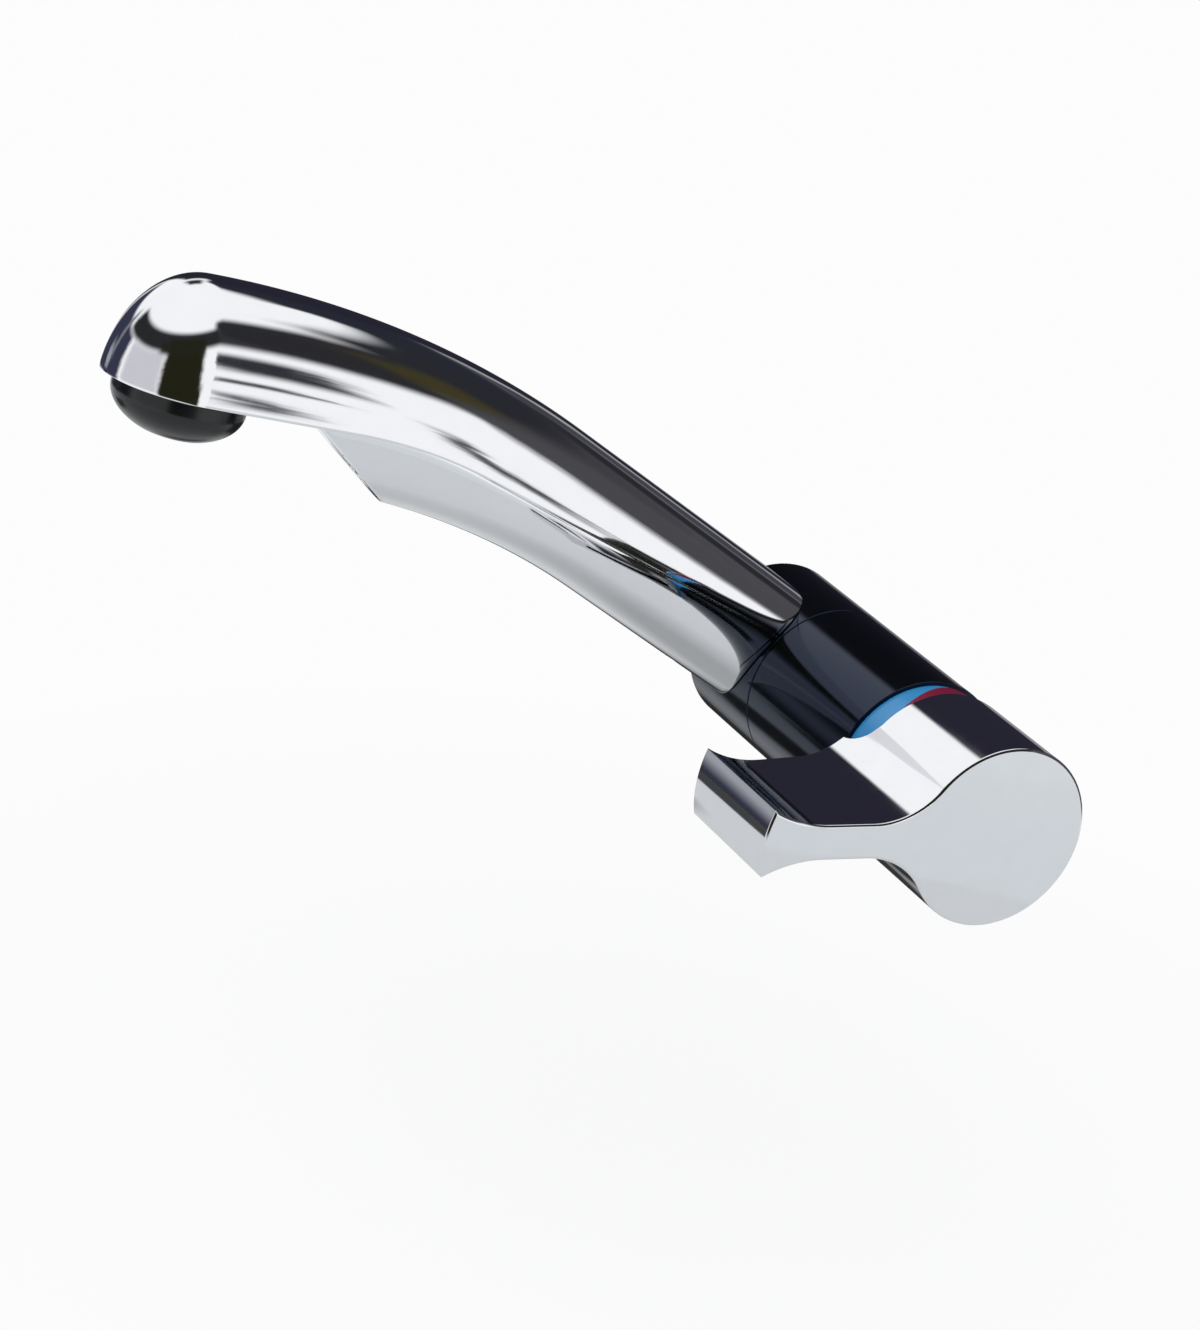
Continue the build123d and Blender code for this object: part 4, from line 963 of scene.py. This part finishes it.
def covered(tree, azimuth, height, light, board):
    """The light with a soft-edged board of PANELS laid over it."""
    middle, half, soft, rise, half_rise, soft_rise, tone = board
    aside = maths(tree, "WRAP", maths(tree, "SUBTRACT", azimuth, middle), 180.0, -180.0)
    across = within(tree, maths(tree, "ABSOLUTE", aside), half, soft)
    above = maths(tree, "ABSOLUTE", maths(tree, "SUBTRACT", height, rise))
    upright = within(tree, above, half_rise, soft_rise)
    return tinted(tree, maths(tree, "MULTIPLY", across, upright), light, tone)


# The camera, in metres, with its right and up directions and its lens over a 36 mm film
CAMERA_PLACE = (0.7197, -0.4577, 0.3028)
CAMERA_RIGHT = (0.42721, 0.88514, 0.18446)
CAMERA_UP = (-0.39640, 0.0, 0.91808)
CAMERA_FILM = 36.0
CAMERA_LENS = 93.49

# The plain white that the camera sees, the white of the lights, and the share of the plain
# white that the polished metal sees on the floor
CAMERA_WHITE = 0.98
LIGHT_WHITE = 1.19
FLOOR_GLOW = 0.4

# Boards and lights round the tap, as seen from it, in degrees. Azimuth 0 looks along +X and 90
# along +Y. Each has its middle azimuth, half width and softness, its middle elevation, half
# height and softness, and its tone. A later one covers an earlier one.
PANELS = (
    # Ceiling edge: the dark gap between the overhead light and the side lights
    (-45, 80, 6, 29.5, 8.5, 3, (0.028, 0.028, 0.030)),
    (51, 23, 6, 31, 13, 3, (0.030, 0.030, 0.034)),
    (88, 29, 6, 36, 12.5, 3, (0.028, 0.029, 0.036)),
    (127, 23, 5, 41, 14, 3, (0.026, 0.029, 0.042)),
    (170, 14, 6, 57, 7, 4, (0.040, 0.040, 0.060)),
    (59, 9, 5, 33, 6, 3, (0.062, 0.052, 0.022)),
    # Dark corner left of the camera, with a grey board in it
    (-142, 36, 5, 2, 18, 3, (0.045, 0.048, 0.085)),
    (-134.5, 3, 3, 14, 14, 5, (0.25, 0.25, 0.29)),
    # Light box in front
    (-69, 29, 5, 4, 17, 4, (0.74, 0.74, 0.78)),
    # Camera and its stand
    (-14, 24, 4, 6, 26, 4, (0.020, 0.020, 0.010)),
    (-18, 32, 5, 24, 4, 3, (0.022, 0.022, 0.014)),
    (-7, 25, 5, -11, 8, 4, (0.020, 0.020, 0.010)),
    # Light box on the right with the stands in front of it
    (31, 20, 3, 2.75, 20.75, 3, (LIGHT_WHITE, LIGHT_WHITE, LIGHT_WHITE)),
    (28.0, 3.4, 1.6, 12.5, 5.0, 2.5, (0.035, 0.035, 0.045)),
    (25.5, 1.6, 1.0, 1.2, 1.2, 1.0, (0.030, 0.034, 0.034)),
    (23.6, 1.0, 0.9, -10.0, 3.6, 2.0, (0.080, 0.085, 0.110)),
    (33.2, 1.1, 0.9, -5.0, 7.0, 3.0, (0.070, 0.070, 0.080)),
    # Dark room behind the tap
    (82, 31, 4, 6, 22, 4, (0.085, 0.083, 0.092)),
    (107, 8, 4, 6, 24, 4, (0.028, 0.028, 0.034)),
    (121, 8, 4, 6, 24, 4, (0.065, 0.065, 0.078)),
    (154, 24, 3, 18, 26, 4, (0.024, 0.023, 0.038)),
    (140, 9, 2, -15, 10, 2.5, (0.30, 0.30, 0.33)),
    # Board by the tap's left side: dark below, and greyer towards its top
    (-143, 6, 3, -3, 5, 5, (0.42, 0.43, 0.47)),
    (-143, 6, 3, -15.5, 3, 1.5, (0.040, 0.044, 0.056)),
    # Table, with painted shade straight below the tap, and a dark mat on it
    (0, 360, 5, -57, 38, 3, (0.80, 0.84, 0.86)),
    # Painted shade straight below the tap
    (0, 360, 5, -90, 16, 9, (0.58, 0.62, 0.65)),
    (158, 11, 4, -33, 9, 3, (0.080, 0.085, 0.100)),
)

# Waves in the edges of the boards and lights: each has its noise's scale and reach in degrees
RIPPLES = ((9.0, 2.4), (30.0, 1.6))

# The floor, in metres. The camera sees its paper mixed with plain white: by the first share up
# to the first radius, and by the second share from the second radius on.
FLOOR_MIDDLE = (0, -0.08, -0.13)
FLOOR_RADIUS = 0.42
FLOOR_SIDES = 96
FLOOR_SHARES = (0.9, 1.0)
FLOOR_RADII = (0.1, 0.3)

# Painted shade on the floor behind the tap, in metres: X from where it is full to where it is gone,
# and Y from gone to full. Only the polished metal sees it and the painted shade spots, of which
# the first is the painted shadow under the barrel. A spot has its middle, the radii where it is
# full and gone, and its strength.
SHADE_BEHIND_X = (-0.03, 0.03)
SHADE_BEHIND_Y = (-0.02, 0.03)
PAINTED_SHADE_TONE = (0.03, 0.03, 0.035)
PAINTED_SHADOW_SPOTS = (
    # The painted shadow under the barrel, then two spots of painted shade further out
    ((0.03, -0.01, -0.13), 0.03, 0.10, 0.45),
    ((-0.135, -0.105, -0.13), 0.035, 0.06, 1.0),
    ((-0.252, -0.333, -0.13), 0.075, 0.095, 1.0),
)


class TAP_OT_studio(bpy.types.Operator):
    """Floor, soft light from all round with dark boards behind the tap, and the camera"""

    bl_idname = "tap.studio"
    bl_label = "Studio"

    def execute(self, context):
        scene = context.scene
        scene.view_settings.view_transform = "Standard"
        self.camera(scene)
        self.floor()
        self.world(scene)
        return {"FINISHED"}

    def camera(self, scene):
        data = bpy.data.cameras.new("photo_camera")
        data.sensor_fit = "VERTICAL"
        data.sensor_height = CAMERA_FILM
        data.lens = CAMERA_LENS
        data.clip_start = 0.01
        data.clip_end = 100.0
        eye = bpy.data.objects.new("photo_camera", data)
        scene.collection.objects.link(eye)
        right = Vector(CAMERA_RIGHT)
        back = right.cross(Vector(CAMERA_UP)).normalized()
        up = back.cross(right).normalized()
        turn = Matrix((right.normalized(), up, back)).transposed()
        eye.matrix_world = Matrix.Translation(CAMERA_PLACE) @ turn.to_4x4()
        scene.camera = eye

    def floor(self):
        bpy.ops.object.select_all(action="DESELECT")
        shape = {"vertices": FLOOR_SIDES, "radius": FLOOR_RADIUS, "fill_type": "NGON"}
        bpy.ops.mesh.primitive_circle_add(location=FLOOR_MIDDLE, **shape)
        ground = bpy.context.object
        ground.name = "studio_floor"
        settle(ground)
        ground.data.materials.append(self.paper())

    def paper(self):
        """Pale paper that the camera sees almost plain white, and the metal with painted shade on it."""
        made, tree = new_material("studio_paper")
        place = place_on(tree)
        rgb = tuple(finishes().floor)
        bare = tinted(tree, noise(tree, place, 300.0, 2.0), rgb, darker(rgb, 0.98))
        camera = is_camera_ray(tree)
        # Painted shade on the floor, which the camera never sees
        dark = maths(tree, "SUBTRACT", self.painted_shade_marks(tree, place), camera, use_clamp=True)
        sockets = {"Base Color": tinted(tree, dark, bare, PAINTED_SHADE_TONE), "Roughness": 0.7}
        paper = add(tree, "ShaderNodeBsdfPrincipled", sockets)
        glow = add(tree, "ShaderNodeEmission", {"Color": (1, 1, 1, 1), "Strength": CAMERA_WHITE})
        away = add(tree, "ShaderNodeVectorMath", {0: place}, operation="LENGTH").outputs["Value"]
        direct = between(tree, away, *FLOOR_SHARES, *FLOOR_RADII)
        mirrored = maths(tree, "MULTIPLY", maths(tree, "SUBTRACT", 1.0, dark), FLOOR_GLOW)
        share = add(tree, "ShaderNodeMix", {0: camera, 2: mirrored, 3: direct}).outputs[0]
        close(tree, blended(tree, share, paper, glow))
        return made

    def painted_shade_marks(self, tree, place):
        """1 on the painted shade behind the tap and on the painted shade spots, and 0 on the bare floor.
        """
        axes = add(tree, "ShaderNodeSeparateXYZ", {0: place}).outputs
        # Painted shade over the floor behind the tap
        behind = between(tree, axes["X"], 1.0, 0.0, *SHADE_BEHIND_X)
        beside = between(tree, axes["Y"], 0.0, 1.0, *SHADE_BEHIND_Y)
        dark = maths(tree, "MULTIPLY", behind, beside)
        for middle, full, gone, strength in PAINTED_SHADOW_SPOTS:
            away = add(tree, "ShaderNodeVectorMath", {0: place, 1: middle}, operation="DISTANCE")
            spot = between(tree, away.outputs["Value"], strength, 0.0, full, gone)
            dark = maths(tree, "MAXIMUM", dark, spot)
        return dark

    def world(self, scene):
        """The boards and lights by direction, and plain white for the camera."""
        world = bpy.data.worlds.new("studio")
        scene.world = world
        world.use_nodes = True
        tree = world.node_tree
        tree.nodes.clear()
        towards = add(tree, "ShaderNodeTexCoord").outputs["Generated"]
        axes = add(tree, "ShaderNodeSeparateXYZ", {0: towards}).outputs
        azimuth = maths(tree, "DEGREES", maths(tree, "ARCTAN2", axes["Y"], axes["X"]))
        height = maths(tree, "DEGREES", maths(tree, "ARCSINE", axes["Z"]))
        # Cloth and film hang a little unevenly, so the edges of the lights waver
        for scale, degrees in RIPPLES:
            sockets = {"Vector": towards, "Scale": scale, "Detail": 2.0}
            wave = add(tree, "ShaderNodeTexNoise", sockets).outputs["Fac"]
            azimuth = maths(tree, "ADD", azimuth, between(tree, wave, -degrees, degrees))
        light = (LIGHT_WHITE, LIGHT_WHITE, LIGHT_WHITE)
        for board in PANELS:
            light = covered(tree, azimuth, height, light, board)
        lit = add(tree, "ShaderNodeBackground", {"Color": light, "Strength": 1.0})
        plain = add(tree, "ShaderNodeBackground", {"Color": (1, 1, 1, 1), "Strength": CAMERA_WHITE})
        both = blended(tree, is_camera_ray(tree), lit, plain)
        add(tree, "ShaderNodeOutputWorld", {"Surface": both.outputs[0]})


class TAP_PT_panel(bpy.types.Panel):
    """The tap's sizes, finishes and pieces"""

    bl_label = "Mixer Tap"
    bl_idname = "TAP_PT_panel"
    bl_space_type = "VIEW_3D"
    bl_region_type = "UI"
    bl_category = "Mixer Tap"

    def draw(self, context):
        layout = self.layout
        for group in (context.scene.tap_sizes, context.scene.tap_finishes):
            column = layout.column(align=True)
            for name in group.__annotations__:
                column.prop(group, name)
        for step in STEPS:
            layout.operator(step.bl_idname)


STEPS = (
    TAP_OT_spout_shell,
    TAP_OT_spout_keel,
    TAP_OT_handle,
    TAP_OT_barrel,
    TAP_OT_outlet,
    TAP_OT_clamp,
    TAP_OT_inner_parts,
    TAP_OT_studio,
)
CLASSES = (TapSizes, TapFinishes) + STEPS + (TAP_PT_panel,)


def register():
    for made in CLASSES:
        bpy.utils.register_class(made)
    bpy.types.Scene.tap_sizes = bpy.props.PointerProperty(type=TapSizes)
    bpy.types.Scene.tap_finishes = bpy.props.PointerProperty(type=TapFinishes)


def unregister():
    del bpy.types.Scene.tap_finishes
    del bpy.types.Scene.tap_sizes
    for made in reversed(CLASSES):
        bpy.utils.unregister_class(made)


def main():
    register()
    bpy.ops.tap.studio()
    bpy.ops.tap.spout_shell()
    bpy.ops.tap.spout_keel()
    bpy.ops.tap.handle()
    bpy.ops.tap.barrel()
    bpy.ops.tap.outlet()
    bpy.ops.tap.clamp()
    bpy.ops.tap.inner_parts()


if __name__ == "__main__":
    main()
